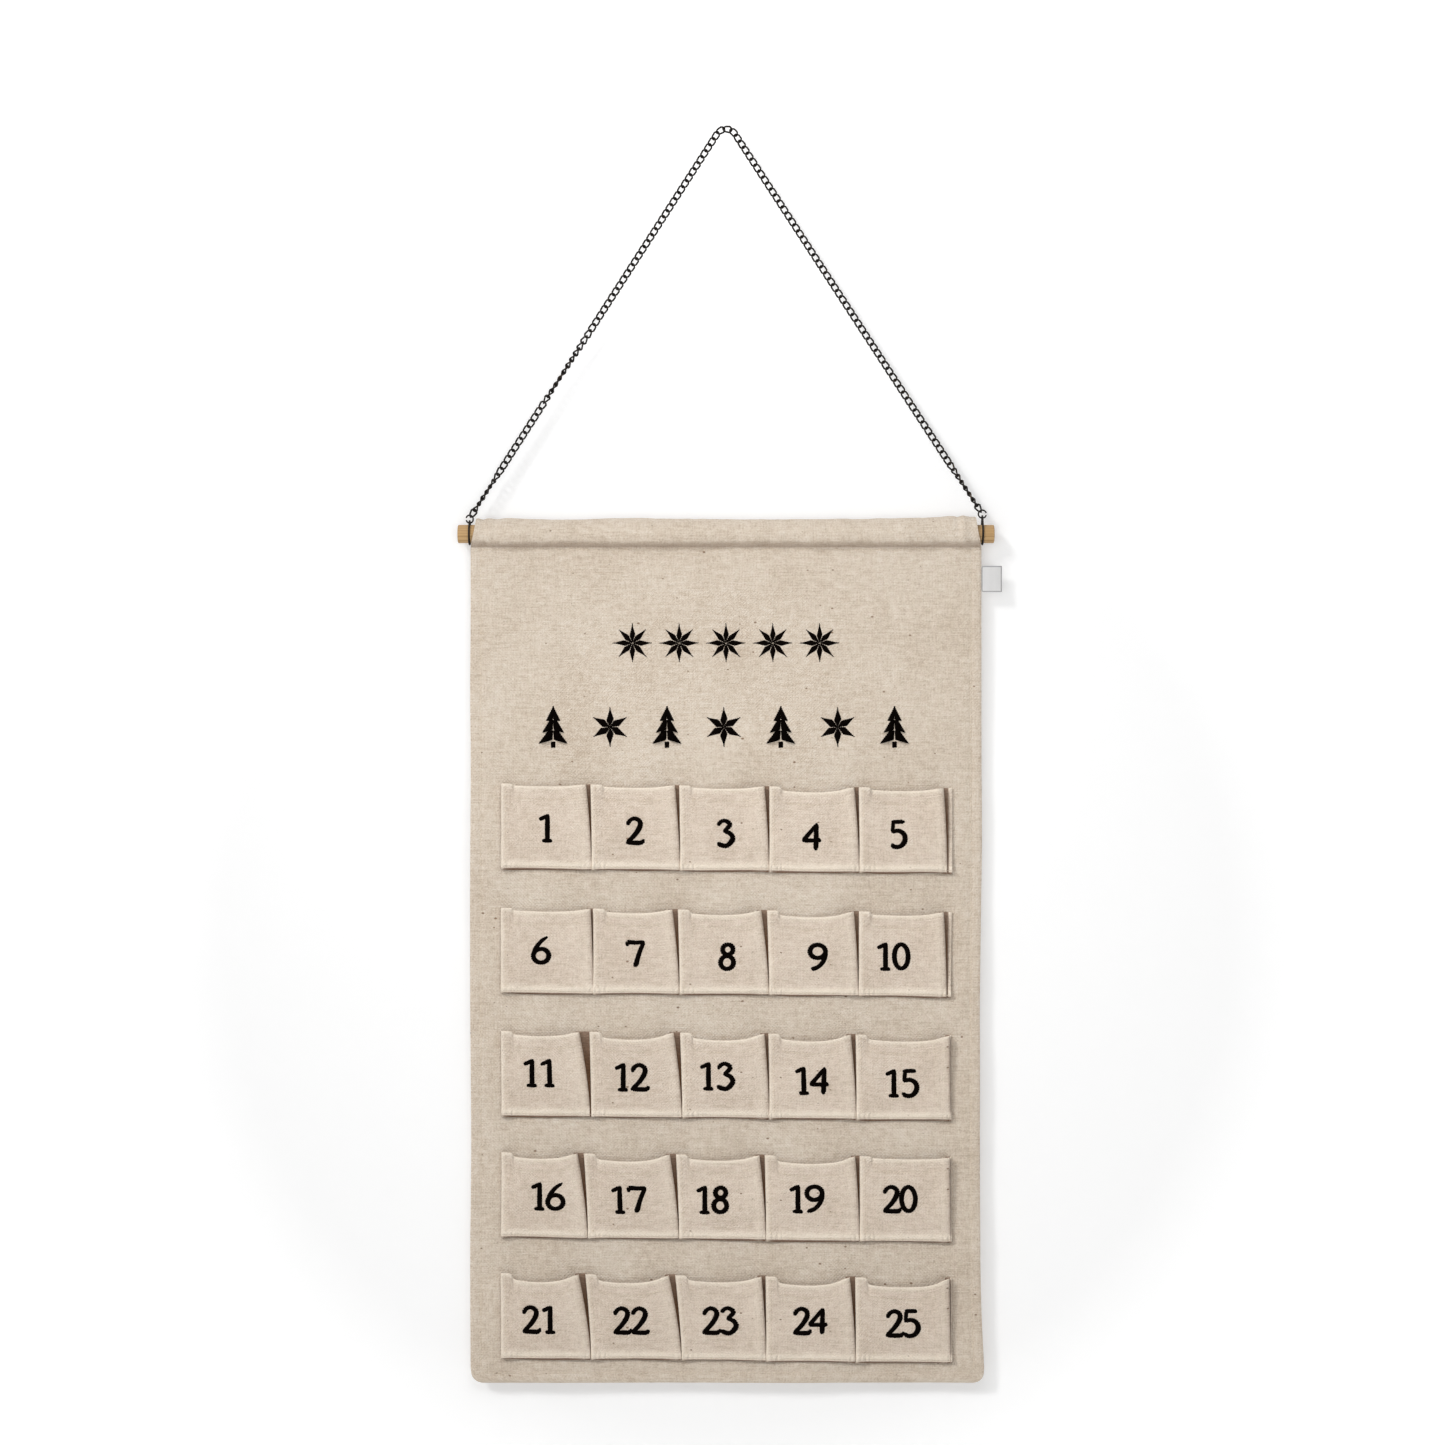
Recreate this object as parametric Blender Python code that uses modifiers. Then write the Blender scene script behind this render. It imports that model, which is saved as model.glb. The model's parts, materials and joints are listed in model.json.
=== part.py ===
"""A fabric advent calendar: a canvas panel with 25 numbered pockets that hangs from a dowel on a chain.

Metres, +Z up, +X to the right, and the front faces -Y. The origin is where a hook's bar carries the chain.
"""

import math

import bmesh
import bpy
from mathutils import Matrix, Vector

# Fits
CLEARANCE = 0.0003
CLOTH = 0.0007
WELD = 0.000001

# Dowel
DOWEL_DIAMETER = 0.0127
DOWEL_OVERHANG = 0.0090
DOWEL_CHAMFER = 0.0007
DOWEL_DROP = 0.2787
DOWEL_SIDES = 28

# Chain
WIRE = 0.0011
LINK_WIDTH = 0.0053
LINK_PITCH = 0.0050
LINK_END = 0.0007
NECK_SHARE = 0.45
CHAIN_THICKNESS = 0.0017
HOOK_BAR_DIAMETER = 0.0098
# How far each leg is turned about its own line: pairs of (share of the leg, angle).
LEFT_TURN_SHARES = ((0, 0), (0.46, 0), (0.60, 80), (0.66, 100), (0.73, 180), (0.88, 180))
RIGHT_TURN_SHARES = ((0, 0), (0.84, 0))
END_TURN_SHARE = 0.94

# Jump rings and the loops round the dowel
RING_DIAMETER = 0.0066
RING_SLOT = 0.0004
RING_STEPS = 16
LOOP_WIRE = 0.0012
LOOP_TOP_DIAMETER = 0.0032
LEFT_LOOP_RISE = 0.0091
RIGHT_LOOP_RISE = 0.0126
LOOP_STEP = math.radians(24)
LEFT_RING_TURN = math.radians(32)
RIGHT_RING_TURN = 0

# Panel
PANEL_WIDTH = 0.3545
PANEL_DROP = 0.5894
CORNER_RADIUS = 0.0080
CORNER_STEPS = 4
FLARE = 0.0026
FLARE_HEIGHT = 0.0800
FLARE_STEPS = 3
LINING_INSET = 0.0010

# Sleeve
SLEEVE_HEADROOM = 0.0041
SLEEVE_SLANT = 0.0042
SEAM_BELOW_DOWEL = 0.0020
SLEEVE_STEPS = 5
TAIL = 0.0100
# How far under the tails the panel's flat back starts.
TAIL_ROOM = 0.0020

# Thread
THREAD = 0.0005
THREAD_LIFT = 0.0001
THREAD_END_GAP = 0.0010
SLEEVE_SEAM_DROP = 0.0018
EDGE_STITCH_INSET = 0.0070

# Pocket strips: places as shares of the panel's width and drop, from its top left corner
STRIP_HEIGHT = 0.0585
STRIP_WIDTH = 0.3125
STRIP_INSET = 0.0216
STRIP_FALL = 0.0033
STRIP_DROP_SHARES = (0.294, 0.440, 0.585, 0.728, 0.870)
SEAM_SHARES = (
    (0, 0.202, 0.398, 0.596, 0.796, 1),
    (0, 0.205, 0.397, 0.596, 0.795, 1),
    (0, 0.201, 0.403, 0.596, 0.790, 1),
    (0, 0.194, 0.396, 0.589, 0.797, 1),
    (0, 0.201, 0.402, 0.589, 0.788, 1),
)

# One pocket
POCKET_MOUTH_DEPTH = 0.0062
POCKET_RIDGE_DEPTH = 0.0046
POCKET_RIDGE_HEIGHT = 0.0095
POCKET_RISE_HEIGHT = 0.0058
HEM_LAND = 0.0030
SEAM_LAND = 0.0018
END_LAND = 0.0035
MOUTH_SAG = 0.0040
PLEAT = 0.0042
PLEAT_OVERHANG = 0.0007
SHOULDER = 0.0036
FLAT_MARGIN = 0.0080
SIDE_LEAN = 0.0009
# How full a pocket is at its side fold and its shoulder, and how much of the sag its mouth has along its width.
FOLD_DEPTH_SHARE = 0.80
SHOULDER_DEPTH_SHARE = 0.96
SHOULDER_SAG_SHARE = 0.25
MARGIN_SAG_SHARE = 0.60
# How full a pocket is where it starts to rise, and how far its pleats have spread there and at its ridge.
RISE_DEPTH_SHARE = 0.72
RISE_SPREAD_SHARE = 0.10
RIDGE_SPREAD_SHARE = 0.20

# Embroidery
NUMERAL_HEIGHT = 0.0195
STROKE = 0.0030
JOINING_STROKE = 0.0010
RELIEF = 0.0008
DIGIT_WIDTH_SHARE = 0.62
DIGIT_GAP_SHARE = 0.20
# Each further stroke lies a little lower, as stitches laid over stitches do.
LATER_STROKE_SHARE = 0.95
STROKE_STEP_SHARE = 0.02
# Each numeral's centre: share of the pocket's width from its left seam, and of the strip's height from its top.
NUMERAL_SHARES = (
    ((0.49, 0.52), (0.49, 0.54), (0.50, 0.56), (0.46, 0.59), (0.42, 0.55)),
    ((0.43, 0.49), (0.47, 0.53), (0.52, 0.55), (0.53, 0.55), (0.36, 0.53)),
    ((0.42, 0.49), (0.44, 0.53), (0.39, 0.51), (0.47, 0.55), (0.47, 0.57)),
    ((0.53, 0.51), (0.43, 0.54), (0.37, 0.53), (0.42, 0.51), (0.43, 0.50)),
    ((0.42, 0.54), (0.44, 0.54), (0.45, 0.53), (0.48, 0.52), (0.49, 0.54)),
)
STAR_SIZE = 0.0260
STAR_WAIST_SHARE = 0.46
STAR_COUNT = 5
STAR_POINTS = 8
STAR_PITCH = 0.0325
STAR_LINE_DROP_SHARE = 0.1286
FIR_HEIGHT = 0.0285
FIR_WIDTH = 0.0220
SNOW_STAR_POINTS = 6
MOTIF_COUNT = 7
MOTIF_PITCH = 0.0395
MOTIF_LINE_DROP_SHARE = 0.2276
MOTIF_SHIFT = 0.0015

# Side label
LABEL_WIDTH = 0.0140
LABEL_HEIGHT = 0.0180
LABEL_CLOTH = 0.0004
LABEL_DROP_SHARE = 0.0531

# Values that several pieces share
DOWEL_LENGTH = PANEL_WIDTH + 2 * DOWEL_OVERHANG
LAYER = CLOTH + CLEARANCE
DOWEL_AXIS = Vector((0, 0, -DOWEL_DROP))
SLEEVE_BORE = DOWEL_DIAMETER / 2 + CLEARANCE
PANEL_TOP = DOWEL_AXIS.z
PANEL_FRONT = -CLEARANCE / 2 - LAYER - CLOTH
STRIP_FRONT = PANEL_FRONT - LAYER


def clear_scene():
    for obj in list(bpy.data.objects):
        bpy.data.objects.remove(obj)


def new_collection(name):
    collection = bpy.data.collections.new(name)
    bpy.context.scene.collection.children.link(collection)
    return collection


def material(name, colour, roughness, metallic=0):
    made = bpy.data.materials.new(name)
    made.use_nodes = True
    shader = made.node_tree.nodes["Principled BSDF"]
    shader.inputs["Base Color"].default_value = (*colour, 1)
    shader.inputs["Roughness"].default_value = roughness
    shader.inputs["Metallic"].default_value = metallic
    return made


def add_object(name, data, paint, smooth=False):
    """A new object in the calendar's collection, with its material."""
    obj = bpy.data.objects.new(name, data)
    PARTS.objects.link(obj)
    data.materials.append(paint)
    if smooth:
        data.shade_smooth()
        data.set_sharp_from_angle(angle=math.radians(40))
    return obj


def tube(name, paths, thickness, sides, cyclic):
    """A curve object whose tubes follow the paths."""
    curve = bpy.data.curves.new(name, "CURVE")
    curve.dimensions = "3D"
    curve.bevel_depth = thickness / 2
    curve.bevel_resolution = (sides - 4) // 2
    curve.use_fill_caps = True
    for path in paths:
        spline = curve.splines.new("POLY")
        spline.points.add(len(path) - 1)
        for point, place in zip(spline.points, path):
            point.co = (*place, 1)
        spline.use_cyclic_u = cyclic
    obj = bpy.data.objects.new(name, curve)
    PARTS.objects.link(obj)
    return obj


def as_mesh(obj):
    """The evaluated object as a mesh of its own, with its caps welded. The object is removed."""
    bpy.context.view_layer.update()
    mesh = bpy.data.meshes.new_from_object(obj.evaluated_get(bpy.context.evaluated_depsgraph_get()))
    mesh.transform(obj.matrix_world)
    welded = bmesh.new()
    welded.from_mesh(mesh)
    bmesh.ops.remove_doubles(welded, verts=welded.verts, dist=WELD)
    bmesh.ops.recalc_face_normals(welded, faces=welded.faces)
    welded.to_mesh(mesh)
    welded.free()
    bpy.data.objects.remove(obj)
    return mesh


def fused(name, meshes, paint):
    """One object that joins meshes with Boolean unions."""
    obj = add_object(name, meshes[0], paint)
    helpers = []
    for mesh in meshes[1:]:
        helper = bpy.data.objects.new(name + "_joined", mesh)
        CUTTERS.objects.link(helper)
        helpers.append(helper)
        union = obj.modifiers.new("join", "BOOLEAN")
        union.operation = "UNION"
        union.object = helper
    joined = as_mesh(obj)
    for helper in helpers:
        bpy.data.objects.remove(helper)
    joined.materials.clear()
    return add_object(name, joined, paint)


def folded_cloth(name, rows, paint, thickness, offset=0.0):
    """A cloth: a flat grid whose rows of points are moved to the given places, then made solid."""
    columns = len(rows[0])
    grid = bmesh.new()
    bmesh.ops.create_grid(grid, x_segments=columns - 1, y_segments=len(rows) - 1, size=1)
    for vertex in grid.verts:
        column = round((vertex.co.x + 1) / 2 * (columns - 1))
        row = round((vertex.co.y + 1) / 2 * (len(rows) - 1))
        vertex.co = rows[row][column]
    mesh = bpy.data.meshes.new(name)
    grid.to_mesh(mesh)
    grid.free()
    cloth = add_object(name, mesh, paint, smooth=True)
    solid = cloth.modifiers.new("thickness", "SOLIDIFY")
    solid.thickness = thickness
    solid.offset = offset
    solid.use_even_offset = True
    return cloth


def blend(start, end, share):
    return start + (end - start) * share


# Dowel


def make_dowel():
    cylinder = bmesh.new()
    turned = Matrix.Translation(DOWEL_AXIS) @ Matrix.Rotation(math.radians(90), 4, "Y")
    bmesh.ops.create_cone(
        cylinder,
        cap_ends=True,
        segments=DOWEL_SIDES,
        radius1=DOWEL_DIAMETER / 2,
        radius2=DOWEL_DIAMETER / 2,
        depth=DOWEL_LENGTH,
    )
    mesh = bpy.data.meshes.new("dowel")
    cylinder.to_mesh(mesh)
    cylinder.free()
    dowel = add_object("dowel", mesh, WOOD, smooth=True)
    dowel.matrix_world = turned
    chamfer = dowel.modifiers.new("eased ends", "BEVEL")
    chamfer.width = DOWEL_CHAMFER
    chamfer.segments = 1
    chamfer.limit_method = "ANGLE"
    chamfer.angle_limit = math.radians(60)


# Chain, rings and loops


def flat_outlines(name, outlines, thickness):
    """A curve object that fills flat outlines: the first one, less the others as holes in it."""
    curve = bpy.data.curves.new(name, "CURVE")
    curve.dimensions = "2D"
    curve.fill_mode = "BOTH"
    curve.extrude = thickness / 2
    for outline in outlines:
        spline = curve.splines.new("POLY")
        spline.points.add(len(outline) - 1)
        for point, (u, v) in zip(spline.points, outline):
            point.co = (u, v, 0, 1)
        spline.use_cyclic_u = True
    obj = bpy.data.objects.new(name, curve)
    PARTS.objects.link(obj)
    return obj


def chain_run(name, length, place):
    """Links in a row, each wide in its middle round an open eye. place() bends and twists the flat row."""
    count = max(1, round(length / LINK_PITCH))
    pitch = length / count
    half = LINK_WIDTH / 2
    side = []
    for i in range(count):
        side += [(pitch * i, half * NECK_SHARE), (pitch * (i + 1 / 2), half)]
    side.append((length, half * NECK_SHARE))
    outlines = [side + [(u, -v) for u, v in reversed(side)]]
    for i in range(count):
        middle = pitch * (i + 1 / 2)
        reach = pitch / 2 - LINK_END
        outlines.append([(middle - reach, 0), (middle, half - WIRE), (middle + reach, 0), (middle, WIRE - half)])
    mesh = as_mesh(flat_outlines(name, outlines, CHAIN_THICKNESS))
    for vertex in mesh.vertices:
        vertex.co = place(*vertex.co)
    add_object(name, mesh, BRONZE)


def turn_at(shares, share):
    """The turn at this share of a leg, in radians, read from pairs of (share, degrees)."""
    for (start, first), (end, last) in zip(shares, shares[1:]):
        if share <= end:
            within = (share - start) / (end - start)
            eased = within * within * (3 - 2 * within)
            return math.radians(blend(first, last, eased))
    return math.radians(shares[-1][1])


def ring_seat():
    """How far a leg's end reaches past the middle of the ring's wire that goes through its last eye."""
    corner = math.atan2(LINK_WIDTH / 2 - WIRE, LINK_PITCH / 2 - LINK_END)
    return (WIRE / 2 + CLEARANCE) / math.sin(corner) + LINK_END


def chain_leg(name, top, bottom, turn_shares, ring_axis):
    """A leg whose last eye ends up open along the ring's wire, at right angles to the ring's axis."""
    run = bottom - top
    along = run.normalized()
    front = Vector((0, -1, 0))
    across = front.cross(along).normalized()
    end = math.degrees(math.atan2(front.dot(ring_axis), across.dot(ring_axis)))
    shares = (*turn_shares, (END_TURN_SHARE, end), (1, end))

    def place(u, v, w):
        turn = Matrix.Rotation(turn_at(shares, u / run.length), 3, along)
        return top + along * u + turn @ (across * v + front * w)

    chain_run(name, run.length, place)


def loop_points(x, rise):
    """The loop's centreline: round the dowel, and over a narrow top that a jump ring holds."""
    low = DOWEL_DIAMETER / 2 + CLEARANCE + LOOP_WIRE / 2
    high = LOOP_TOP_DIAMETER / 2
    spread = math.acos((low - high) / (rise - high))
    points = []
    for radius, centre, start, end in (
        (low, 0, spread, 2 * math.pi - spread),
        (high, rise - high, 2 * math.pi - spread, 2 * math.pi + spread),
    ):
        steps = max(2, round((end - start) / LOOP_STEP))
        reach = radius / math.cos((end - start) / steps / 2)
        for i in range(steps):
            angle = start + (end - start) * (i + 1 / 2) / steps
            point = Vector((0, -reach * math.sin(angle), centre + reach * math.cos(angle)))
            points.append(DOWEL_AXIS + Vector((x, 0, 0)) + point)
    return points


def chain_side(side, sign, rise, ring_turn, turn_shares, crown_middle, crown_radius):
    """One dowel end's loop and jump ring, and the leg that goes up from it to the crown."""
    loop_x = sign * (PANEL_WIDTH / 2 + CLEARANCE + LOOP_WIRE / 2)
    loop = tube(side + "_dowel_loop", [loop_points(loop_x, rise)], LOOP_WIRE, 6, True)
    loop.data.materials.append(BRONZE)

    grip = (WIRE + LOOP_WIRE) / 2 + CLEARANCE
    ring_radius = (RING_DIAMETER - WIRE) / 2
    ring_middle = DOWEL_AXIS + Vector((loop_x, 0, rise - grip + ring_radius))
    flat = Vector((math.cos(ring_turn), math.sin(ring_turn), 0))
    slot = RING_SLOT + WIRE
    opening = slot / ring_radius
    path = []
    for i in range(RING_STEPS):
        angle = opening / 2 + (2 * math.pi - opening) * i / (RING_STEPS - 1)
        path.append(ring_middle + ring_radius * (sign * flat * math.cos(angle) + Vector((0, 0, math.sin(angle)))))
    ring = tube(side + "_jump_ring", [path], WIRE, 6, False)
    ring.data.materials.append(BRONZE)

    ring_axis = Vector((flat.y, -flat.x, 0))
    rise_line = (crown_middle - ring_middle).normalized()
    pull = (rise_line - ring_axis * rise_line.dot(ring_axis)).normalized()
    bottom = ring_middle + pull * ring_radius - rise_line * ring_seat()

    reach = crown_middle - bottom
    tangent = math.asin(crown_radius / math.hypot(reach.x, reach.z)) + math.atan2(abs(reach.x), reach.z)
    touch = crown_middle + crown_radius * Vector((sign * math.cos(tangent), 0, math.sin(tangent)))
    top = touch + (bottom - touch).normalized() * CLEARANCE / 2
    chain_leg("chain_" + side, top, bottom, turn_shares, ring_axis)
    return math.radians(90) - tangent


def make_chain():
    radius = (HOOK_BAR_DIAMETER + LINK_WIDTH) / 2
    middle = Vector((0, 0, -HOOK_BAR_DIAMETER / 2))
    left = chain_side("left", -1, LEFT_LOOP_RISE, LEFT_RING_TURN, LEFT_TURN_SHARES, middle, radius)
    right = chain_side("right", 1, RIGHT_LOOP_RISE, RIGHT_RING_TURN, RIGHT_TURN_SHARES, middle, radius)
    length = radius * (left + right) - CLEARANCE

    def place(u, v, w):
        angle = (u + CLEARANCE / 2) / radius - left
        return middle + Vector((math.sin(angle), 0, math.cos(angle))) * (radius + v) - Vector((0, w, 0))

    chain_run("chain_crown", length, place)


# Panel


def sleeve_angles():
    """The directions, from straight up, at which the sleeve's flank and underside leave the dowel."""
    reach = DOWEL_DIAMETER / 2 + SEAM_BELOW_DOWEL
    part = math.hypot(CLEARANCE / 2, reach)
    low = math.acos(-SLEEVE_BORE / part) - math.atan2(CLEARANCE / 2, reach)
    outer = SLEEVE_BORE + LAYER + CLOTH
    high = math.acos(outer / (outer + SLEEVE_HEADROOM))
    return low, high


def sleeve_section(offset):
    """The front half of a layer's line in the YZ plane, from the seam up to the ridge."""
    low, high = sleeve_angles()
    radius = SLEEVE_BORE + offset
    y = -CLEARANCE / 2 - offset
    points = [(y, (radius + math.sin(low) * y) / math.cos(low))]
    step = (low - high) / SLEEVE_STEPS
    for i in range(SLEEVE_STEPS):
        angle = low - step * (i + 1 / 2)
        reach = radius / math.cos(step / 2)
        points.append((-reach * math.sin(angle), reach * math.cos(angle)))
    points.append((0, radius / math.cos(high)))
    return points


def side_edges(z):
    """The panel's left and right edge at this height over the dowel's axis."""
    half = PANEL_WIDTH / 2
    seam = sleeve_section(0)[0][1]
    ridge = sleeve_section(0)[-1][1]
    if z > seam:
        half -= SLEEVE_SLANT * (z - seam) / (ridge - seam)
    flare = max(0, FLARE_HEIGHT - (z + PANEL_DROP)) / FLARE_HEIGHT
    return -half, half + FLARE * flare * flare


def make_canvas(name, offset, inset):
    """One layer of the panel: up the front, over the dowel, and down behind it to a short tail."""
    line = []
    for i in range(CORNER_STEPS + 1):
        angle = math.radians(90) * i / CORNER_STEPS
        line.append((1 - math.cos(angle), 1 - math.sin(angle)))
    rows = []
    front = -CLEARANCE / 2 - offset
    for rise, tuck in line:
        z = -PANEL_DROP + inset + CORNER_RADIUS * rise
        left, right = side_edges(z)
        pull = inset + CORNER_RADIUS * tuck
        rows.append([(left + pull, front, z), (right - pull, front, z)])
    flare_top = -PANEL_DROP + FLARE_HEIGHT
    for i in range(FLARE_STEPS):
        z = blend(rows[CORNER_STEPS][0][2], flare_top, (i + 1) / FLARE_STEPS)
        left, right = side_edges(z)
        rows.append([(left + inset, front, z), (right - inset, front, z)])
    section = sleeve_section(offset)
    flat_top = (front, section[0][1] - TAIL - TAIL_ROOM)
    back = [(-y, z) for y, z in reversed(section[:-1])]
    for y, z in [flat_top] + section + back + [(back[-1][0], back[-1][1] - TAIL)]:
        left, right = side_edges(z)
        rows.append([(left + inset, y, z), (right - inset, y, z)])
    placed = [[DOWEL_AXIS + Vector(point) for point in row] for row in rows]
    return folded_cloth(name, placed, CANVAS, CLOTH)


def make_panel():
    make_canvas("front_canvas", LAYER + CLOTH / 2, 0)
    make_canvas("lining_canvas", CLOTH / 2, LINING_INSET)


def thread(name, paths):
    """Stitching: a thin thread just in front of what it holds. Several runs that cross are joined."""
    runs = [as_mesh(tube(name, [path], THREAD, 4, False)) for path in paths]
    fused(name, runs, CREAM_THREAD)


def make_panel_stitching():
    y = PANEL_FRONT - CLEARANCE - THREAD / 2
    seam = sleeve_section(LAYER + CLOTH)[0][1]
    z = PANEL_TOP + seam - SLEEVE_SEAM_DROP
    half = PANEL_WIDTH / 2 - THREAD_END_GAP
    thread("sleeve_seam", [[Vector((-half, y, z)), Vector((half, y, z))]])

    inset = EDGE_STITCH_INSET
    left = -PANEL_WIDTH / 2 + inset
    right = PANEL_WIDTH / 2 - inset
    low = PANEL_TOP - PANEL_DROP + inset
    turn = CORNER_RADIUS / 2
    top = z - THREAD_END_GAP
    path = [
        (left, top),
        (left, low + turn),
        (left + turn, low),
        (right, low),
        (right + FLARE / 2, low + turn),
        (right, low + FLARE_HEIGHT),
        (right, top),
    ]
    thread("edge_topstitch", [[Vector((x, y, height)) for x, height in path]])


# Pocket strips


def strip_corner(row):
    """The strip's top left corner, as x and z."""
    return -PANEL_WIDTH / 2 + STRIP_INSET, PANEL_TOP - PANEL_DROP * STRIP_DROP_SHARES[row]


def strip_fall(x):
    """How far the strip has dropped at x, because it was sewn on a little aslant."""
    return STRIP_FALL * (x + PANEL_WIDTH / 2 - STRIP_INSET) / STRIP_WIDTH


def pocket_columns(row, pocket):
    """The folds of one pocket: (x at no depth, x shift at full depth, share of the depth, share of the sag)."""
    start = strip_corner(row)[0]
    left = start + STRIP_WIDTH * SEAM_SHARES[row][pocket]
    right = start + STRIP_WIDTH * SEAM_SHARES[row][pocket + 1]
    first = pocket == 0
    last = pocket == len(SEAM_SHARES[row]) - 2
    foot = left + (END_LAND if first else SEAM_LAND / 2)
    heel = right - (END_LAND if last else SEAM_LAND / 2)
    lean = SIDE_LEAN if first else -PLEAT_OVERHANG
    fold = PLEAT / 2 if last else PLEAT
    return [
        (foot, 0, 0, 0),
        (foot + PLEAT_OVERHANG, lean - PLEAT_OVERHANG, FOLD_DEPTH_SHARE, 0),
        (foot + SHOULDER, 0, SHOULDER_DEPTH_SHARE, SHOULDER_SAG_SHARE),
        (foot + FLAT_MARGIN, 0, 1, MARGIN_SAG_SHARE),
        ((foot + heel) / 2, 0, 1, 1),
        (heel - FLAT_MARGIN - PLEAT, 0, 1, MARGIN_SAG_SHARE),
        (heel - SHOULDER, -fold, SHOULDER_DEPTH_SHARE, SHOULDER_SAG_SHARE),
        (heel - PLEAT_OVERHANG, -fold, FOLD_DEPTH_SHARE, 0),
        (heel, 0, 0, 0),
    ]


def make_strip(row):
    """One row's strip: sewn flat along its bottom, its ends and each pleat, and open along its top."""
    start, top = strip_corner(row)
    bottom = top - STRIP_HEIGHT
    columns = [(start, 0, 0, 0)]
    for pocket in range(len(SEAM_SHARES[row]) - 1):
        columns += pocket_columns(row, pocket)
    columns.append((start + STRIP_WIDTH, 0, 0, 0))
    levels = (
        (0, 0, 0),
        (HEM_LAND, 0, 0),
        (POCKET_RISE_HEIGHT, POCKET_RIDGE_DEPTH * RISE_DEPTH_SHARE, RISE_SPREAD_SHARE),
        (POCKET_RIDGE_HEIGHT, POCKET_RIDGE_DEPTH, RIDGE_SPREAD_SHARE),
        (STRIP_HEIGHT, POCKET_MOUTH_DEPTH, 1),
    )
    rows = []
    for height, depth, spread in levels:
        points = []
        for x, shift, fullness, sag in columns:
            drop = MOUTH_SAG * sag if height == STRIP_HEIGHT else 0
            place = x + shift * spread
            z = bottom + height - drop - strip_fall(place)
            points.append(Vector((place, STRIP_FRONT - depth * fullness, z)))
        rows.append(points)
    folded_cloth("pocket_strip_" + str(row + 1), rows, CANVAS, CLOTH, offset=-1.0)


def make_pocket_stitching(row):
    """The thread along the strip's bottom, and up each seam between two pockets."""
    start, top = strip_corner(row)
    y = STRIP_FRONT - CLEARANCE - THREAD / 2
    low = top - STRIP_HEIGHT + HEM_LAND / 2
    high = top - 2 * HEM_LAND

    def at(x, z, lift=0):
        return Vector((x, y - lift, z - strip_fall(x)))

    end = start + STRIP_WIDTH
    inset = END_LAND / 2
    runs = [[at(start + inset, high), at(start + inset, low), at(end - inset, low), at(end - inset, high)]]
    for share in SEAM_SHARES[row][1:-1]:
        x = start + STRIP_WIDTH * share
        runs.append([at(x, low - THREAD, THREAD_LIFT), at(x, high, THREAD_LIFT)])
    thread("pocket_stitching_" + str(row + 1), runs)


# Embroidery


def pocket_front(row, x, z):
    """Where the flat part of a pocket's front lies, in y, at this place."""
    bottom = strip_corner(row)[1] - STRIP_HEIGHT - strip_fall(x)
    share = (z - bottom - POCKET_RIDGE_HEIGHT) / (STRIP_HEIGHT - POCKET_RIDGE_HEIGHT)
    return STRIP_FRONT - blend(POCKET_RIDGE_DEPTH, POCKET_MOUTH_DEPTH, share)


def oval(x, z, wide, tall, steps=8):
    """A closed ring of points, its middle and half sizes in shares of a digit's height."""
    angles = [2 * math.pi * i / steps for i in range(steps)]
    return [(x + wide * math.sin(angle), z + tall * math.cos(angle)) for angle in angles]


# Each digit's strokes, in shares of its height. A stroke is (points, whether it closes on itself).
DIGIT_STROKE_SHARES = {
    "0": [(oval(0.31, 0.50, 0.23, 0.42), True)],
    "1": [
        ([(0.12, 0.78), (0.32, 0.93)], False),
        ([(0.32, 0.96), (0.32, 0.02)], False),
        ([(0.12, 0.08), (0.52, 0.08)], False),
    ],
    "2": [
        ([(0.09, 0.70), (0.14, 0.86), (0.31, 0.92), (0.48, 0.84), (0.50, 0.66), (0.10, 0.10)], False),
        ([(0.05, 0.08), (0.56, 0.08)], False),
    ],
    "3": [
        ([(0.10, 0.80), (0.30, 0.92), (0.48, 0.80), (0.44, 0.62), (0.24, 0.53)], False),
        ([(0.37, 0.58), (0.52, 0.42), (0.54, 0.24), (0.34, 0.08), (0.09, 0.18)], False),
    ],
    "4": [
        ([(0.44, 0.95), (0.08, 0.34)], False),
        ([(0.02, 0.30), (0.60, 0.30)], False),
        ([(0.42, 0.96), (0.42, 0.02)], False),
    ],
    "5": [
        ([(0.52, 0.92), (0.12, 0.92)], False),
        ([(0.16, 0.94), (0.13, 0.54), (0.36, 0.60), (0.52, 0.42), (0.48, 0.18), (0.28, 0.08), (0.08, 0.16)], False),
    ],
    "6": [
        (oval(0.31, 0.29, 0.22, 0.22), True),
        ([(0.48, 0.90), (0.24, 0.76), (0.10, 0.50), (0.09, 0.28)], False),
    ],
    "7": [
        ([(0.05, 0.90), (0.56, 0.90)], False),
        ([(0.54, 0.92), (0.34, 0.48), (0.26, 0.03)], False),
    ],
    "8": [
        (oval(0.31, 0.72, 0.18, 0.20), True),
        (oval(0.31, 0.29, 0.22, 0.23), True),
    ],
    "9": [
        (oval(0.31, 0.70, 0.22, 0.22), True),
        ([(0.14, 0.09), (0.38, 0.23), (0.52, 0.50), (0.53, 0.72)], False),
    ],
}

# Where the joining thread meets a digit's foot, across the digit. Digits not named here meet it as the 1 does.
FOOT_SHARES = {"1": 0.34, "4": 0.42, "7": 0.28, "9": 0.16}
FOOT_HEIGHT_SHARE = 0.09


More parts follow.
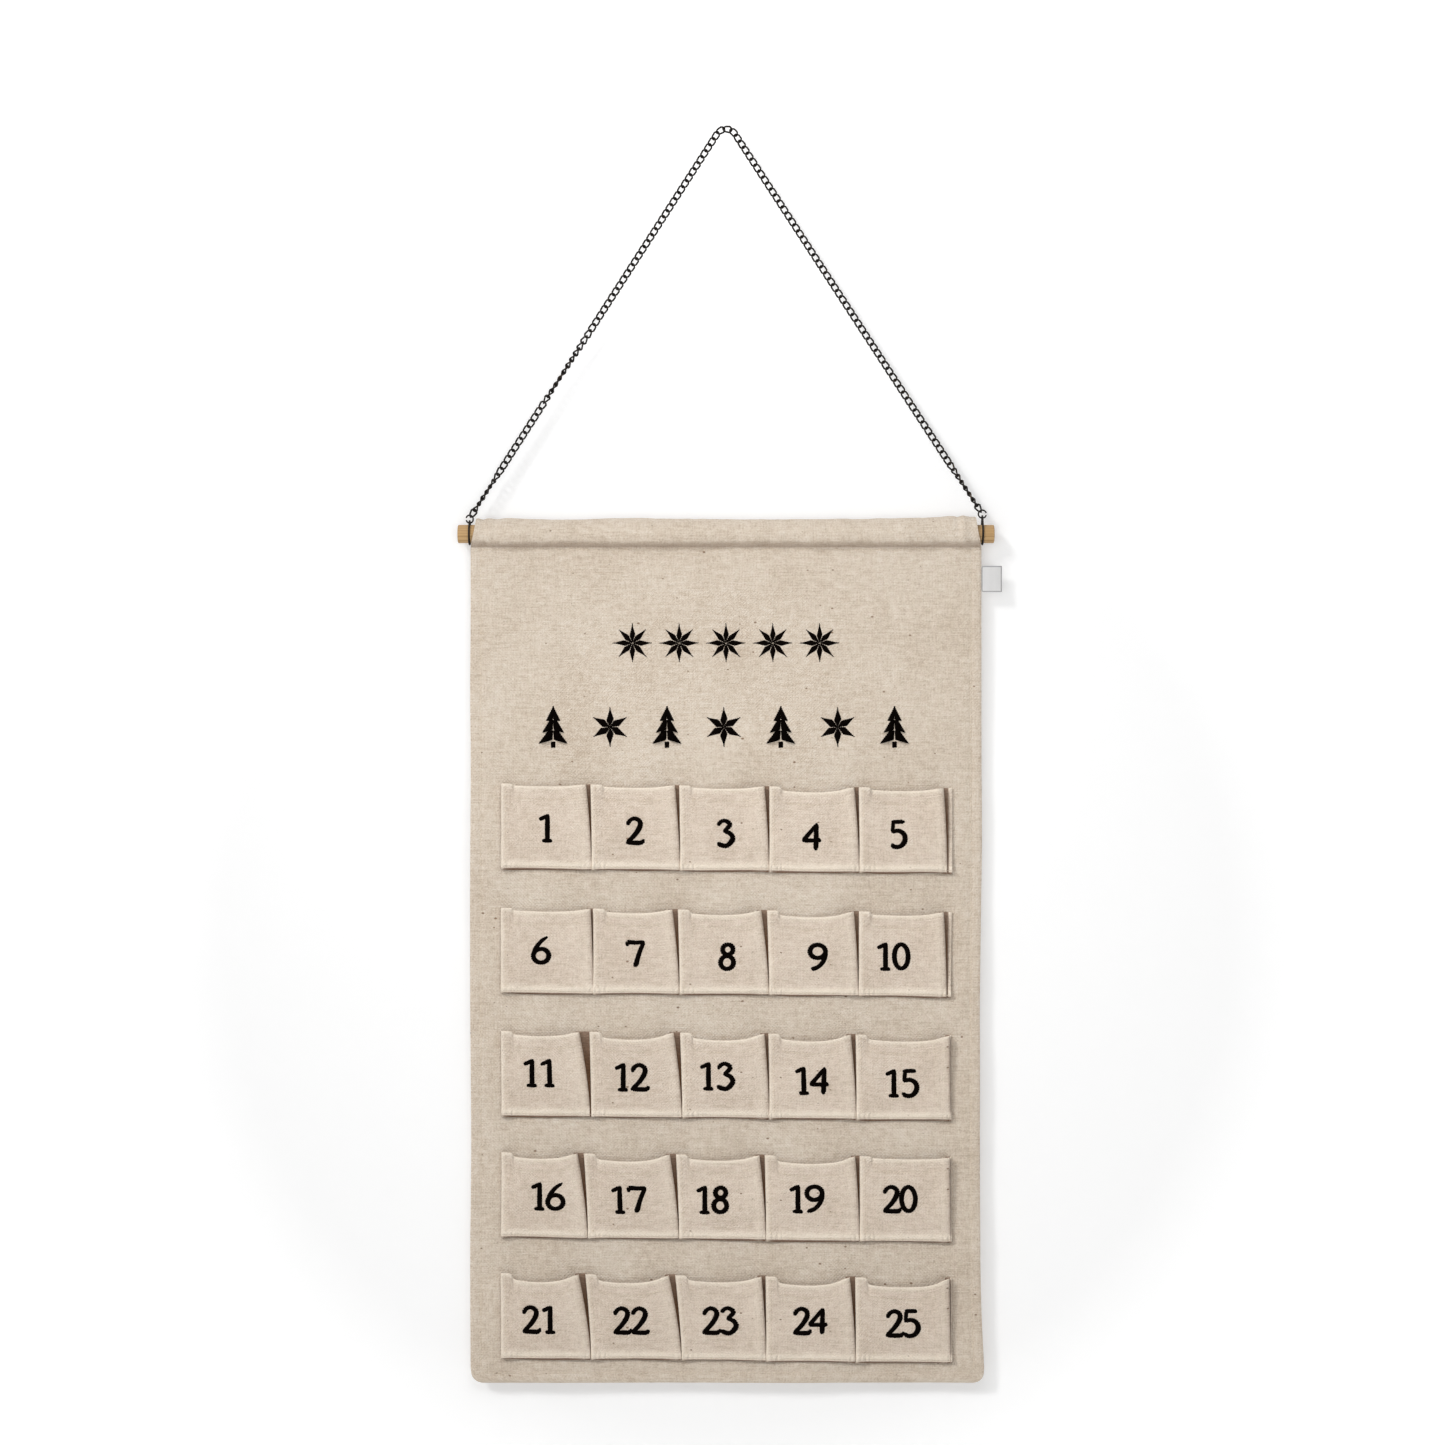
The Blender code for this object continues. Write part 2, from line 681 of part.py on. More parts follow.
def make_numeral(row, pocket):
    """One number in raised satin stitch, whose digits a thread joins at the foot."""
    number = row * (len(SEAM_SHARES[row]) - 1) + pocket + 1
    digits = str(number)
    across, down = NUMERAL_SHARES[row][pocket]
    left, right = SEAM_SHARES[row][pocket : pocket + 2]
    start, top = strip_corner(row)
    x = start + STRIP_WIDTH * blend(left, right, across)
    z = top - STRIP_HEIGHT * down - strip_fall(x)
    pitch = NUMERAL_HEIGHT * (DIGIT_WIDTH_SHARE + DIGIT_GAP_SHARE)
    width = pitch * (len(digits) - 1) + NUMERAL_HEIGHT * DIGIT_WIDTH_SHARE
    strokes = []
    for place, digit in enumerate(digits):
        for points, closed in DIGIT_STROKE_SHARES[digit]:
            path = [(pitch * place + NUMERAL_HEIGHT * u, NUMERAL_HEIGHT * v) for u, v in points]
            strokes.append((path, STROKE, closed))
    if len(digits) > 1:
        first, second = (FOOT_SHARES.get(digit, FOOT_SHARES["1"]) for digit in digits)
        foot = NUMERAL_HEIGHT * FOOT_HEIGHT_SHARE
        ends = [(NUMERAL_HEIGHT * first, foot), (pitch + NUMERAL_HEIGHT * second, foot)]
        strokes.append((ends, JOINING_STROKE, False))
    name = "numeral_" + str(number).zfill(2)
    meshes = []
    for layer, (path, thickness, closed) in enumerate(strokes):
        line = [Vector((u, 0, v)) for u, v in path]
        mesh = as_mesh(tube(name, [line], thickness, 4, closed))
        for vertex in mesh.vertices:
            vertex.co.y *= RELIEF / STROKE * LATER_STROKE_SHARE**layer
            vertex.co.y += RELIEF * STROKE_STEP_SHARE * layer
        meshes.append(mesh)
    numeral = fused(name, meshes, DARK_THREAD)
    for vertex in numeral.data.vertices:
        vertex.co.x += x - width / 2
        vertex.co.z += z - NUMERAL_HEIGHT / 2
        vertex.co.y += pocket_front(row, vertex.co.x, vertex.co.z) - CLEARANCE - RELIEF / 2


def make_star(name, x, z, points):
    """A star in satin stitch, a flat cone whose rim goes in and out."""
    cone = bmesh.new()
    bmesh.ops.create_cone(
        cone, cap_ends=True, segments=2 * points, radius1=STAR_SIZE / 2, radius2=0, depth=RELIEF
    )
    rim = [vertex for vertex in cone.verts if vertex.co.z < 0]
    for vertex in rim:
        angle = math.atan2(vertex.co.x, vertex.co.y)
        if round(angle * points / math.pi) % 2:
            vertex.co.x *= STAR_WAIST_SHARE
            vertex.co.y *= STAR_WAIST_SHARE
    mesh = bpy.data.meshes.new(name)
    cone.to_mesh(mesh)
    cone.free()
    star = add_object(name, mesh, DARK_THREAD)
    y = PANEL_FRONT - CLEARANCE - RELIEF / 2
    star.matrix_world = Matrix.Translation((x, y, z)) @ Matrix.Rotation(math.radians(90), 4, "X")


# A fir's right-hand outline from its tip, in shares of its half width and its height.
FIR_SHARES = ((0.50, 0.66), (0.26, 0.66), (0.76, 0.38), (0.42, 0.38), (1, 0.12), (0.16, 0.12), (0.16, 0))


def make_fir(name, x, z):
    """A fir in satin stitch, as a flat outline."""
    outline = [(0, FIR_HEIGHT)]
    outline += [(FIR_WIDTH / 2 * u, FIR_HEIGHT * v) for u, v in FIR_SHARES]
    outline += [(-FIR_WIDTH / 2 * u, FIR_HEIGHT * v) for u, v in reversed(FIR_SHARES)]
    fir = flat_outlines(name, [[(u, v - FIR_HEIGHT / 2) for u, v in outline]], RELIEF)
    fir.data.materials.append(DARK_THREAD)
    y = PANEL_FRONT - CLEARANCE - RELIEF / 2
    fir.matrix_world = Matrix.Translation((x, y, z)) @ Matrix.Rotation(math.radians(90), 4, "X")


def make_motifs():
    """Two lines of embroidery over the pockets: stars, then firs and stars by turns."""
    z = PANEL_TOP - PANEL_DROP * STAR_LINE_DROP_SHARE
    for i in range(STAR_COUNT):
        make_star("star_" + str(i + 1), STAR_PITCH * (i - (STAR_COUNT - 1) / 2), z, STAR_POINTS)
    z = PANEL_TOP - PANEL_DROP * MOTIF_LINE_DROP_SHARE
    for i in range(MOTIF_COUNT):
        x = MOTIF_PITCH * (i - (MOTIF_COUNT - 1) / 2) - MOTIF_SHIFT
        if i % 2:
            make_star("snow_star_" + str(i // 2 + 1), x, z, SNOW_STAR_POINTS)
        else:
            make_fir("fir_" + str(i // 2 + 1), x, z)


# Side label


def make_label():
    """A woven tape folded once, whose two ends meet the panel's right edge."""
    half = (LABEL_CLOTH + CLEARANCE) / 2
    y = PANEL_FRONT + CLOTH + CLEARANCE / 2
    start = PANEL_WIDTH / 2 + CLEARANCE
    end = start + LABEL_WIDTH - LABEL_CLOTH
    section = [(start, -half), (end - half, -half), (end, 0), (end - half, half), (start, half)]
    middle = PANEL_TOP - PANEL_DROP * LABEL_DROP_SHARE
    rows = []
    for side in (-1, 1):
        z = middle + side * LABEL_HEIGHT / 2
        rows.append([Vector((x, y + depth, z)) for x, depth in section])
    folded_cloth("side_label", rows, TAPE, LABEL_CLOTH)


clear_scene()
PARTS = new_collection("advent calendar")
CUTTERS = new_collection("cutters")
CANVAS = material("cream canvas", (0.68, 0.58, 0.45), 0.95)
WOOD = material("dowel wood", (0.55, 0.33, 0.14), 0.6)
BRONZE = material("dark bronze", (0.035, 0.027, 0.022), 0.4, 0.9)
DARK_THREAD = material("dark brown thread", (0.014, 0.008, 0.007), 0.6)
CREAM_THREAD = material("cream thread", (0.62, 0.52, 0.40), 0.7)
TAPE = material("label tape", (0.86, 0.84, 0.80), 0.8)

make_dowel()
make_chain()
make_panel()
make_panel_stitching()
for strip in range(len(SEAM_SHARES)):
    make_strip(strip)
    make_pocket_stitching(strip)
    for pocket_place in range(len(SEAM_SHARES[strip]) - 1):
        make_numeral(strip, pocket_place)
make_motifs()
make_label()
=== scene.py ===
"""The looks of a fabric advent calendar: canvas, pockets, embroidery, chain and dowel, round its frame.

Metres, +Z up, and the front faces -Y, as in the frame. The origin is where a hook's bar carries the chain.
"""

import json
import math
import random

import bpy
import numpy as np
from mathutils import Matrix, Vector, noise
from mathutils.bvhtree import BVHTree


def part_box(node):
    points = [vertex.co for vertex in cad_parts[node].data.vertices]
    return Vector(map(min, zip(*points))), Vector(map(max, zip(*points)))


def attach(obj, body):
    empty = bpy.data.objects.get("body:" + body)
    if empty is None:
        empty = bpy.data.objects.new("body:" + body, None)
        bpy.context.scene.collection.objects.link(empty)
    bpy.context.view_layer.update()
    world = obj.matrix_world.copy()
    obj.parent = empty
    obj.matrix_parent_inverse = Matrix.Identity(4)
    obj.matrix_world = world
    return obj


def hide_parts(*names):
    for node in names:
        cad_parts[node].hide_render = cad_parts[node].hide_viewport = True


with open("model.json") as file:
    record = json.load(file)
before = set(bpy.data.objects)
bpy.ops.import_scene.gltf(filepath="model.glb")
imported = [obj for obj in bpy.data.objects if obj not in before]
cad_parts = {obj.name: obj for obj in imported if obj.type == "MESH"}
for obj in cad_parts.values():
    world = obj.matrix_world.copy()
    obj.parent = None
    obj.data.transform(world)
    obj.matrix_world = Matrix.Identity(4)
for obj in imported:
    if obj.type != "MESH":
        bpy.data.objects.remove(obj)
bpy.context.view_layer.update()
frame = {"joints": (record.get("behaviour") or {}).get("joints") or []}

# Dowel and sleeve, as in the frame
DOWEL_AXIS = Vector(next(j["pos_m"] for j in frame["joints"] if j["name"] == "panel_swing"))
DOWEL_DIAMETER = 0.0127
DOWEL_EASE = 0.0008
CLEARANCE = 0.0003
SLEEVE_BORE = DOWEL_DIAMETER / 2 + CLEARANCE
SLEEVE_HEADROOM = 0.0041
SLEEVE_SLANT = 0.0042
SLEEVE_TUCK = 0.0006
SEAM_BELOW_DOWEL = 0.0020
SLEEVE_STEPS = 7
TAIL = 0.0100

# Chain, rings and loops
WIRE = 0.0011
# The links and loops are drawn a little thicker than the frame's.
DRAWN_WIRE = 0.00135
LINK_WIDTH = 0.0053
LINK_PITCH = 0.0050
LINK_TWIST = math.radians(45)
LINK_SLACK = 0.00005
HOOK_BAR_DIAMETER = 0.0098
RING_DIAMETER = 0.0066
RING_SLOT = 0.0004
LOOP_WIRE = 0.0012
LOOP_TOP_DIAMETER = 0.0032
LEFT_RING_TURN = math.radians(32)
# How far each leg is turned about its own line: pairs of (share of the leg from its top, degrees).
LEFT_TURN_SHARES = (
    (0, 0), (0.46, 0), (0.60, 80), (0.66, 100), (0.73, 180), (0.86, 180), (0.93, 90), (0.97, 90),
)
RIGHT_TURN_SHARES = ((0, 0), (0.84, 0), (0.93, 90), (0.975, 90))
END_TURN_SHARE = 0.99
LINK_WOBBLE = math.radians(5)

# Panel
SEAM_Z = DOWEL_AXIS.z - DOWEL_DIAMETER / 2 - SEAM_BELOW_DOWEL
PANEL_LOW, PANEL_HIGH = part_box("front_canvas")
PANEL_WIDTH = -2 * PANEL_LOW.x
PANEL_BOTTOM = PANEL_LOW.z
CLOTH = 0.0007
LAYER = CLOTH + CLEARANCE
PANEL_FRONT = -CLEARANCE / 2 - LAYER - CLOTH
LINING_INSET = 0.0010
CORNER_RADIUS = 0.0080
CORNER_STEPS = 4
FLARE = 0.0026
FLARE_HEIGHT = 0.0800
# Places of the control lines, in from each edge, and how many more run between them.
EDGE_LINES = (0, 0.0008, 0.0022, 0.0052, 0.0070, 0.0088, 0.0140)
FOOT_LINES = EDGE_LINES[3:]
# How far below the sleeve's seam the last two lines of the front run.
SEAM_LINES = (0.0022, 0.0006)
PANEL_COLUMNS = 30
PANEL_ROWS = 24
EDGE_ROLL = 0.0006
EDGE_ROLL_WIDTH = 0.0022
STITCH_DIMPLE = 0.00035
STITCH_DIMPLE_WIDTH = 0.0016

# How the cloth hangs: low waves in depth, and edges that wander a little
HANG_TOP = DOWEL_AXIS.z - 0.0550
HANG_FADE = 0.1000
WAVE_DEPTH = 0.0030
WAVE_WIDTH = 0.1300
WAVE_HEIGHT = 0.1700
FLUTTER_DEPTH = 0.0030
FLUTTER_HEIGHT = 0.0900
WANDER = 0.0016
WANDER_HEIGHT = 0.1100
RUMPLE = 0.0006
RUMPLE_SIZE = 0.0260

# Pocket strips, as in the frame
POCKETS = 5
STRIP_HEIGHT = 0.0585
STRIP_CLOTH = 0.00045
STRIP_FRONT = PANEL_FRONT - LAYER
SEAM_SHARES = (
    (0, 0.202, 0.398, 0.596, 0.796, 1),
    (0, 0.205, 0.397, 0.596, 0.795, 1),
    (0, 0.201, 0.403, 0.596, 0.790, 1),
    (0, 0.194, 0.396, 0.589, 0.797, 1),
    (0, 0.201, 0.402, 0.589, 0.788, 1),
)
STRIP_FALL = 0.0033
HEM = 0.0090
# Where each pocket's front stands, at its mouth: in the middle, and at the loose fold on its right.
MIDDLE_DEPTHS = (0.0022, 0.0023, 0.0028, 0.0027, 0.0030)
FOLD_DEPTH = 0.0068
# The sewn fold on a pocket's left: how far its corner stands off the panel, and how far it laps the seam.
TAB_DEPTH = 0.0042
TAB_OVERHANG = 0.0006
# What is left at a pocket's foot of its fold's depth, its tab's depth and its gap, as shares.
FOLD_FOOT_SHARE = 0.16
TAB_FOOT_SHARE = 0.40
GAP_FOOT_SHARE = 0.2
# The height at which a pocket starts to open, and the shares of the rest between which its corner folds over.
POCKET_FOOT = 0.0015
CORNER_START = 0.84
CORNER_LENGTH = 0.14
# How far each pocket's mouth hangs between its corners, how wide the gap is beside its right fold, and how
# far that gap leans to the left at the top.
MOUTH_SAGS = (
    (0.0018, 0.0022, 0.0022, 0.0042, 0.0026),
    (0.0026, 0.0032, 0.0040, 0.0048, 0.0030),
    (0.0036, 0.0056, 0.0056, 0.0056, 0.0050),
    (0.0046, 0.0058, 0.0046, 0.0062, 0.0020),
    (0.0064, 0.0064, 0.0050, 0.0066, 0.0074),
)
FOLD_GAPS = (
    (0.0036, 0.0036, 0.0040, 0.0038, 0.0032),
    (0.0022, 0.0044, 0.0046, 0.0042, 0.0032),
    (0.0076, 0.0050, 0.0034, 0.0040, 0.0004),
    (0.0050, 0.0048, 0.0042, 0.0038, 0.0004),
    (0.0052, 0.0050, 0.0034, 0.0044, 0.0008),
)
FOLD_LEANS = (
    (0.0008, 0.0006, 0.0000, 0.0006, 0.0000),
    (0.0000, 0.0012, 0.0016, 0.0000, 0.0000),
    (0.0012, 0.0016, 0.0006, 0.0006, 0.0000),
    (0.0030, 0.0022, 0.0010, 0.0000, 0.0000),
    (0.0040, 0.0046, 0.0004, 0.0004, 0.0000),
)
# What each strip has past its last fold.
END_TABS = (0.0030, 0.0026, 0.0006, 0.0006, 0.0008)
# How unevenly a strip's foot runs, over what length, and how far up that is felt.
FOOT_WAVE = 0.0007
FOOT_WAVE_LENGTH = 0.0400
FOOT_WAVE_HEIGHT = 0.0200
# How unevenly the turned edge peeps out below the foot, as a share, and over what length.
PEEP_WAVE = 0.9
PEEP_WAVE_LENGTH = 0.0250
# The puckers between the foot's stitches: their depth, their middle's height and its spread, and how wide
# the patches are in which they are alike.
FOOT_PUCKER = 0.00035
FOOT_PUCKER_MIDDLE = 0.0020
FOOT_PUCKER_SPREAD = 0.0022
FOOT_PUCKER_PATCH = 0.0060
# The creases of a pocket's front: their depth, their width, how much taller than that they are, and where
# they start above the foot and in front of the panel, and how soon they are whole there.
POCKET_RUMPLE = 0.0007
POCKET_RUMPLE_SIZE = 0.0170
POCKET_RUMPLE_STRETCH = 1.6
RUMPLE_START_HEIGHT = 0.0040
RUMPLE_WHOLE_HEIGHT = 0.0100
RUMPLE_START_DEPTH = 0.0005
RUMPLE_WHOLE_DEPTH = 0.0015

# Sewing thread
THREAD = 0.00055
THREAD_TIP_SHARE = 0.62
STITCH_LENGTH = 0.0026
STITCH_PITCH = 0.0034
EDGE_STITCH_INSET = 0.0070
SLEEVE_SEAM_DROP = 0.0018
# How far the sleeve's stitches stop short of the cloth's sides, and how far below them the edge's start.
SLEEVE_SEAM_INSET = 0.0010
EDGE_STITCH_DROP = 0.0030

# Embroidery
NUMERAL_HEIGHT = 0.0195
STROKE_SHARE = 0.215
# How far the second digit starts after the first, by the first digit, and what its own shape adds to that.
ADVANCE_SHARES = {"1": 0.585, "2": 0.63}
KERNING_SHARES = {"1": 0.05, "4": -0.06, "6": -0.03}
SATIN_THREAD = 0.00052
SATIN_PITCH = 0.00040
SATIN_SLANT = math.radians(16)
SATIN_RISE_SHARE = 0.26
# The padding: one thread of it for so many of satin, how thick it is, and how high as a share of theirs.
PADDING_STEP = 3
PADDING_THREAD = SATIN_PITCH * 5
PADDING_RISE_SHARE = 0.8
STAR_SIZE = 0.0260
STAR_WAIST_SHARE = 0.46
STAR_TIP_SHARE = 0.12
FIR_HEIGHT = 0.0285
FIR_WIDTH = 0.0220

# Side label
LABEL_CLOTH = 0.0004
LABEL_CURL = 0.0040
LABEL_CURL_MIDDLE = 0.45
# Its front leaf, out from the seam: (share of the label's width, place as a share of half the gap).
LABEL_LEAF = ((0.00, -1), (0.15, -1.2), (0.50, -1.6), (0.85, -1.3), (0.985, -0.8))

# Camera and room
PHOTO_SIDE = 1445
PHOTO_SCALE = 0.000695
PHOTO_ORIGIN = (726, 133)
CAMERA_DISTANCE = 2.2
SENSOR = 0.036
WALL_Y = 0.0090
FLOOR_Z = -1.2500
ROOM = 9.0
# Where the panel's middle is on the wall's own axes.
PANEL_HEIGHT_ON_WALL = -0.55 - FLOOR_Z - ROOM / 2
SOFTBOX_PLACE = (-0.05, -0.60, -0.29)
SOFTBOX_AIM = (0, 0, -0.33)

CLOTH_MAP = "cloth"
# The name of the painted light at each point of a cloth: a painted highlight above 0 on a ridge, painted
# shade below 0 down in a fold.
PAINTED_LIGHT = "fold"
RANDOM = random.Random(25)


def hex_colour(text):
    """An sRGB hex value as a linear colour."""
    shares = [int(text[i : i + 2], 16) / 255 for i in (0, 2, 4)]
    return (*[s / 12.92 if s <= 0.04045 else ((s + 0.055) / 1.055) ** 2.4 for s in shares], 1)


def blend(start, end, share):
    return start + (end - start) * share


def ease(share):
    """From 0 to 1, slow at both ends."""
    share = min(1, max(0, share))
    return share * share * (3 - 2 * share)


# Materials


def add_node(tree, kind, settings=None, inputs=None):
    """A node with its settings. An input is a value, or another node's output that is linked to it."""
    made = tree.nodes.new(kind)
    for name, value in (settings or {}).items():
        setattr(made, name, value)
    for key, value in (inputs or {}).items():
        if isinstance(value, bpy.types.NodeSocket):
            tree.links.new(value, made.inputs[key])
        else:
            made.inputs[key].default_value = value
    return made


def calculated(tree, operation, *values):
    """The result of a calculation on values or on other nodes' outputs."""
    return add_node(tree, "ShaderNodeMath", {"operation": operation}, dict(enumerate(values))).outputs[0]


def ranged(tree, value, start, end, low=0.0, high=1.0):
    """A value's place between start and end, turned into the same place between low and high."""
    inputs = {"Value": value, "From Min": start, "From Max": end, "To Min": low, "To Max": high}
    return add_node(tree, "ShaderNodeMapRange", inputs=inputs).outputs[0]


def separated(tree, vector):
    return add_node(tree, "ShaderNodeSeparateXYZ", inputs={"Vector": vector}).outputs


def scaled(tree, place, across, up, turn=1):
    """A place on the cloth counted in steps of these sizes, or in shares of a turn of them."""
    scale = (turn / across, turn / up, 1)
    return add_node(tree, "ShaderNodeMapping", inputs={"Vector": place, "Scale": scale}).outputs[0]


def mottled(tree, place, size, detail):
    """Noise whose patches are about this size."""
    inputs = {"Vector": place, "Scale": 1 / size, "Detail": detail}
    return add_node(tree, "ShaderNodeTexNoise", inputs=inputs).outputs["Fac"]


def mixed_colour(tree, share, first, second, blend_type="MIX"):
    """A colour with a share of a second one, a hex value, mixed into it."""
    settings = {"data_type": "RGBA", "blend_type": blend_type}
    inputs = {"Factor": share, 6: first, 7: hex_colour(second)}
    return add_node(tree, "ShaderNodeMix", settings, inputs).outputs[2]


def new_material(name, roughness, metallic=0.0, sheen=0.0):
    made = bpy.data.materials.new(name)
    made.use_nodes = True
    shader = made.node_tree.nodes["Principled BSDF"]
    shader.inputs["Roughness"].default_value = roughness
    shader.inputs["Metallic"].default_value = metallic
    shader.inputs["Sheen Weight"].default_value = sheen
    return made, made.node_tree, shader


def give_surface(tree, shader, colour, height, strength, distance):
    """Links a material's colour, and its fine relief as bump."""
    tree.links.new(colour, shader.inputs["Base Color"])
    inputs = {"Height": height, "Strength": strength, "Distance": distance}
    bump = add_node(tree, "ShaderNodeBump", inputs=inputs)
    tree.links.new(bump.outputs["Normal"], shader.inputs["Normal"])


def object_place(tree):
    return add_node(tree, "ShaderNodeTexCoord").outputs["Object"]


def cloth_place(tree):
    return add_node(tree, "ShaderNodeUVMap", {"uv_map": CLOTH_MAP}).outputs["UV"]


def ramp(tree, share, stops):
    """A colour ramp over (place, hex colour) stops."""
    made = add_node(tree, "ShaderNodeValToRGB", inputs={"Fac": share})
    points = made.color_ramp.elements
    for point, (place, colour) in zip(points, (stops[0], stops[-1])):
        point.position = place
        point.color = hex_colour(colour)
    for place, colour in stops[1:-1]:
        points.new(place).color = hex_colour(colour)
    return made.outputs["Color"]


def folded_tint(tree, colour):
    """The cloth's colour with painted light: a painted highlight, paler, along a ridge, and painted shade,
    browner, down in a pleat.
    """
    fold = add_node(tree, "ShaderNodeAttribute", {"attribute_name": PAINTED_LIGHT}).outputs["Fac"]
    # Painted highlight: paler where the point's painted light is above 0.
    toned = mixed_colour(tree, ranged(tree, fold, 0.0, 1.0, 0.0, 0.75), colour, "FAEEDC")
    # Painted shade: darker and browner where the point's painted light is below 0.
    return mixed_colour(tree, ranged(tree, fold, 0.0, -1.0), toned, "80634A", "MULTIPLY")


def canvas_material(name, pale, middle, dark):
    """Unbleached cotton canvas, plain weave: slubs streak it both ways, and seed husks fleck it."""
    made, tree, shader = new_material(name, roughness=0.92, sheen=0.12)
    cloth = cloth_place(tree)

    def streaks(across, up, detail):
        return mottled(tree, scaled(tree, cloth, across, up), 1.0, detail)

    def added(first, second, share):
        return calculated(tree, "MULTIPLY_ADD", second, share, first)

    # Yarn slubs: 14 mm long and 1 mm thick along the weft, 9 mm by 1 mm along the warp.
    weft = streaks(0.0140, 0.0010, 2.0)
    warp = streaks(0.0010, 0.0090, 2.0)
    cloudy = streaks(0.0450, 0.0600, 3.0)
    lumpy = streaks(0.0056, 0.0034, 2.0)
    grainy = streaks(0.0013, 0.0010, 1.0)
    tone = added(added(added(added(weft, warp, 0.8), cloudy, 0.75), lumpy, 0.9), grainy, 1.15)
    colour = ramp(tree, ranged(tree, tone, 1.85, 2.75), [(0.0, dark), (0.5, middle), (1.0, pale)])

    # Seed flecks: at most one in each cell of 9 by 6 mm, up to 1 mm across, in half of the cells.
    cells = scaled(tree, cloth, 0.0090, 0.0060)
    seeds = add_node(tree, "ShaderNodeTexVoronoi", inputs={"Vector": cells, "Scale": 1.0})
    chance = add_node(tree, "ShaderNodeSeparateColor", inputs={"Color": seeds.outputs["Color"]})
    size = ranged(tree, chance.outputs["Red"], 0.45, 1.0, 0.0, 0.13)
    inside = calculated(tree, "SUBTRACT", size, seeds.outputs["Distance"])
    flecked = mixed_colour(tree, ranged(tree, inside, -0.01, 0.03, 0.0, 0.85), colour, "7E6145")

    # Threads cross each 0.6 mm on the real cloth. They are drawn 1.2 mm apart so that the weave still shows.
    waves = separated(tree, scaled(tree, cloth, 0.0024, 0.0024, math.tau))
    weave = calculated(tree, "MULTIPLY", *[calculated(tree, "SINE", waves[axis]) for axis in ("X", "Y")])
    relief = added(added(added(weft, warp, 1.0), weave, 0.45), grainy, 0.8)
    # The colour also carries painted light: painted highlights on ridges, and painted shade in pleats and
    # creases.
    give_surface(tree, shader, folded_tint(tree, flecked), relief, 0.55, 0.0006)
    return made


def thread_material(name, low, high, sheen, gloss):
    """Spun thread: fine fibres that catch the light along it, a little uneven in tone."""
    made, tree, shader = new_material(name, roughness=0.7, sheen=sheen)
    shader.inputs["Specular IOR Level"].default_value = gloss
    fibres = mottled(tree, object_place(tree), 0.0007, 3.0)
    give_surface(tree, shader, ramp(tree, fibres, [(0.3, low), (0.7, high)]), fibres, 0.5, 0.0001)
    return made


def bronze_material():
    """Steel wire with an antique bronze finish: near black, with brassy wear and small pits."""
    made, tree, shader = new_material("antique bronze finish", roughness=0.50, metallic=0.7)
    place = object_place(tree)
    stops = [(0.40, "15110E"), (0.62, "241D17"), (0.78, "4A3C2A")]
    toned = ramp(tree, mottled(tree, place, 0.0040, 4.0), stops)
    give_surface(tree, shader, toned, mottled(tree, place, 0.0006, 2.0), 0.25, 0.0001)
    return made


def dowel_material():
    """Bare birch, sanded: fine grain lines along the dowel, and growth rings on its ends."""
    made, tree, shader = new_material("sanded birch", roughness=0.58)
    # The grain runs along X, so the pattern is stretched 40 times that way.
    along = add_node(
        tree,
        "ShaderNodeMapping",
        inputs={
            "Vector": object_place(tree),
            "Location": (0, 0.0090, 0.0060 - DOWEL_AXIS.z),
            "Scale": (0.025, 1, 1),
        },
    ).outputs[0]
    rings = add_node(
        tree,
        "ShaderNodeTexWave",
        {"wave_type": "RINGS", "rings_direction": "X"},
        {"Vector": along, "Scale": 1 / 0.0040, "Distortion": 2.2, "Detail": 2.0, "Detail Scale": 1.5},
    ).outputs["Fac"]
    grain = calculated(tree, "MULTIPLY_ADD", mottled(tree, along, 0.0007, 3.0), 0.6, rings)
    colour = ramp(tree, ranged(tree, grain, 0.1, 1.3), [(0.0, "A37E52"), (0.5, "B6915F"), (1.0, "C8A472")])
    give_surface(tree, shader, colour, grain, 0.3, 0.0002)
    return made


def tape_material():
    """Woven polyester tape: fine ribs across it, smooth and near white, with a grey selvedge."""
    made, tree, shader = new_material("woven tape", roughness=0.62, sheen=0.1)
    cloth = cloth_place(tree)
    # Ribs each 0.8 mm, twice as far apart as real ones so that they show.
    ribs = calculated(tree, "SINE", separated(tree, scaled(tree, cloth, 0.0008, 0.0030, math.tau))["X"])
    plain = ramp(tree, ranged(tree, ribs, -1.0, 1.0), [(0.0, "D4D3D2"), (1.0, "E4E3E2")])
    # A grey selvedge thread runs along both edges, the seam and the fold.
    low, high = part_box("side_label")
    place = separated(tree, cloth)
    sides = (("X", high.x - low.x), ("Y", high.z - low.z))
    edges = [calculated(tree, "PINGPONG", place[axis], side / 2) for axis, side in sides]
    selvedge = ranged(tree, calculated(tree, "MINIMUM", *edges), 0.0004, 0.0008, 0.8, 0.0)
    give_surface(tree, shader, mixed_colour(tree, selvedge, plain, "7F7F82"), ribs, 0.3, 0.0002)
    return made


FACE_CANVAS = canvas_material("unbleached canvas", pale="E6DACB", middle="DACBB9", dark="C6B4A0")
POCKET_CANVAS = canvas_material("pocket canvas", pale="E9DBCB", middle="DDCCBB", dark="CAB8A4")
CREAM_THREAD = thread_material("cream cotton thread", "CDBCA4", "EDE0CE", sheen=0.2, gloss=0.4)
DARK_THREAD = thread_material("dark rayon thread", "050302", "0E0806", sheen=0.0, gloss=0.02)
BRONZE = bronze_material()
BIRCH = dowel_material()
TAPE = tape_material()


# Making pieces


def only(obj):
    """Selects this object alone, so that an operator acts on nothing else."""
    for other in bpy.context.selected_objects:
        other.select_set(False)
    obj.select_set(True)
    bpy.context.view_layer.objects.active = obj


def apply_modifiers(obj):
    only(obj)
    for modifier in list(obj.modifiers):
        bpy.ops.object.modifier_apply(modifier=modifier.name)


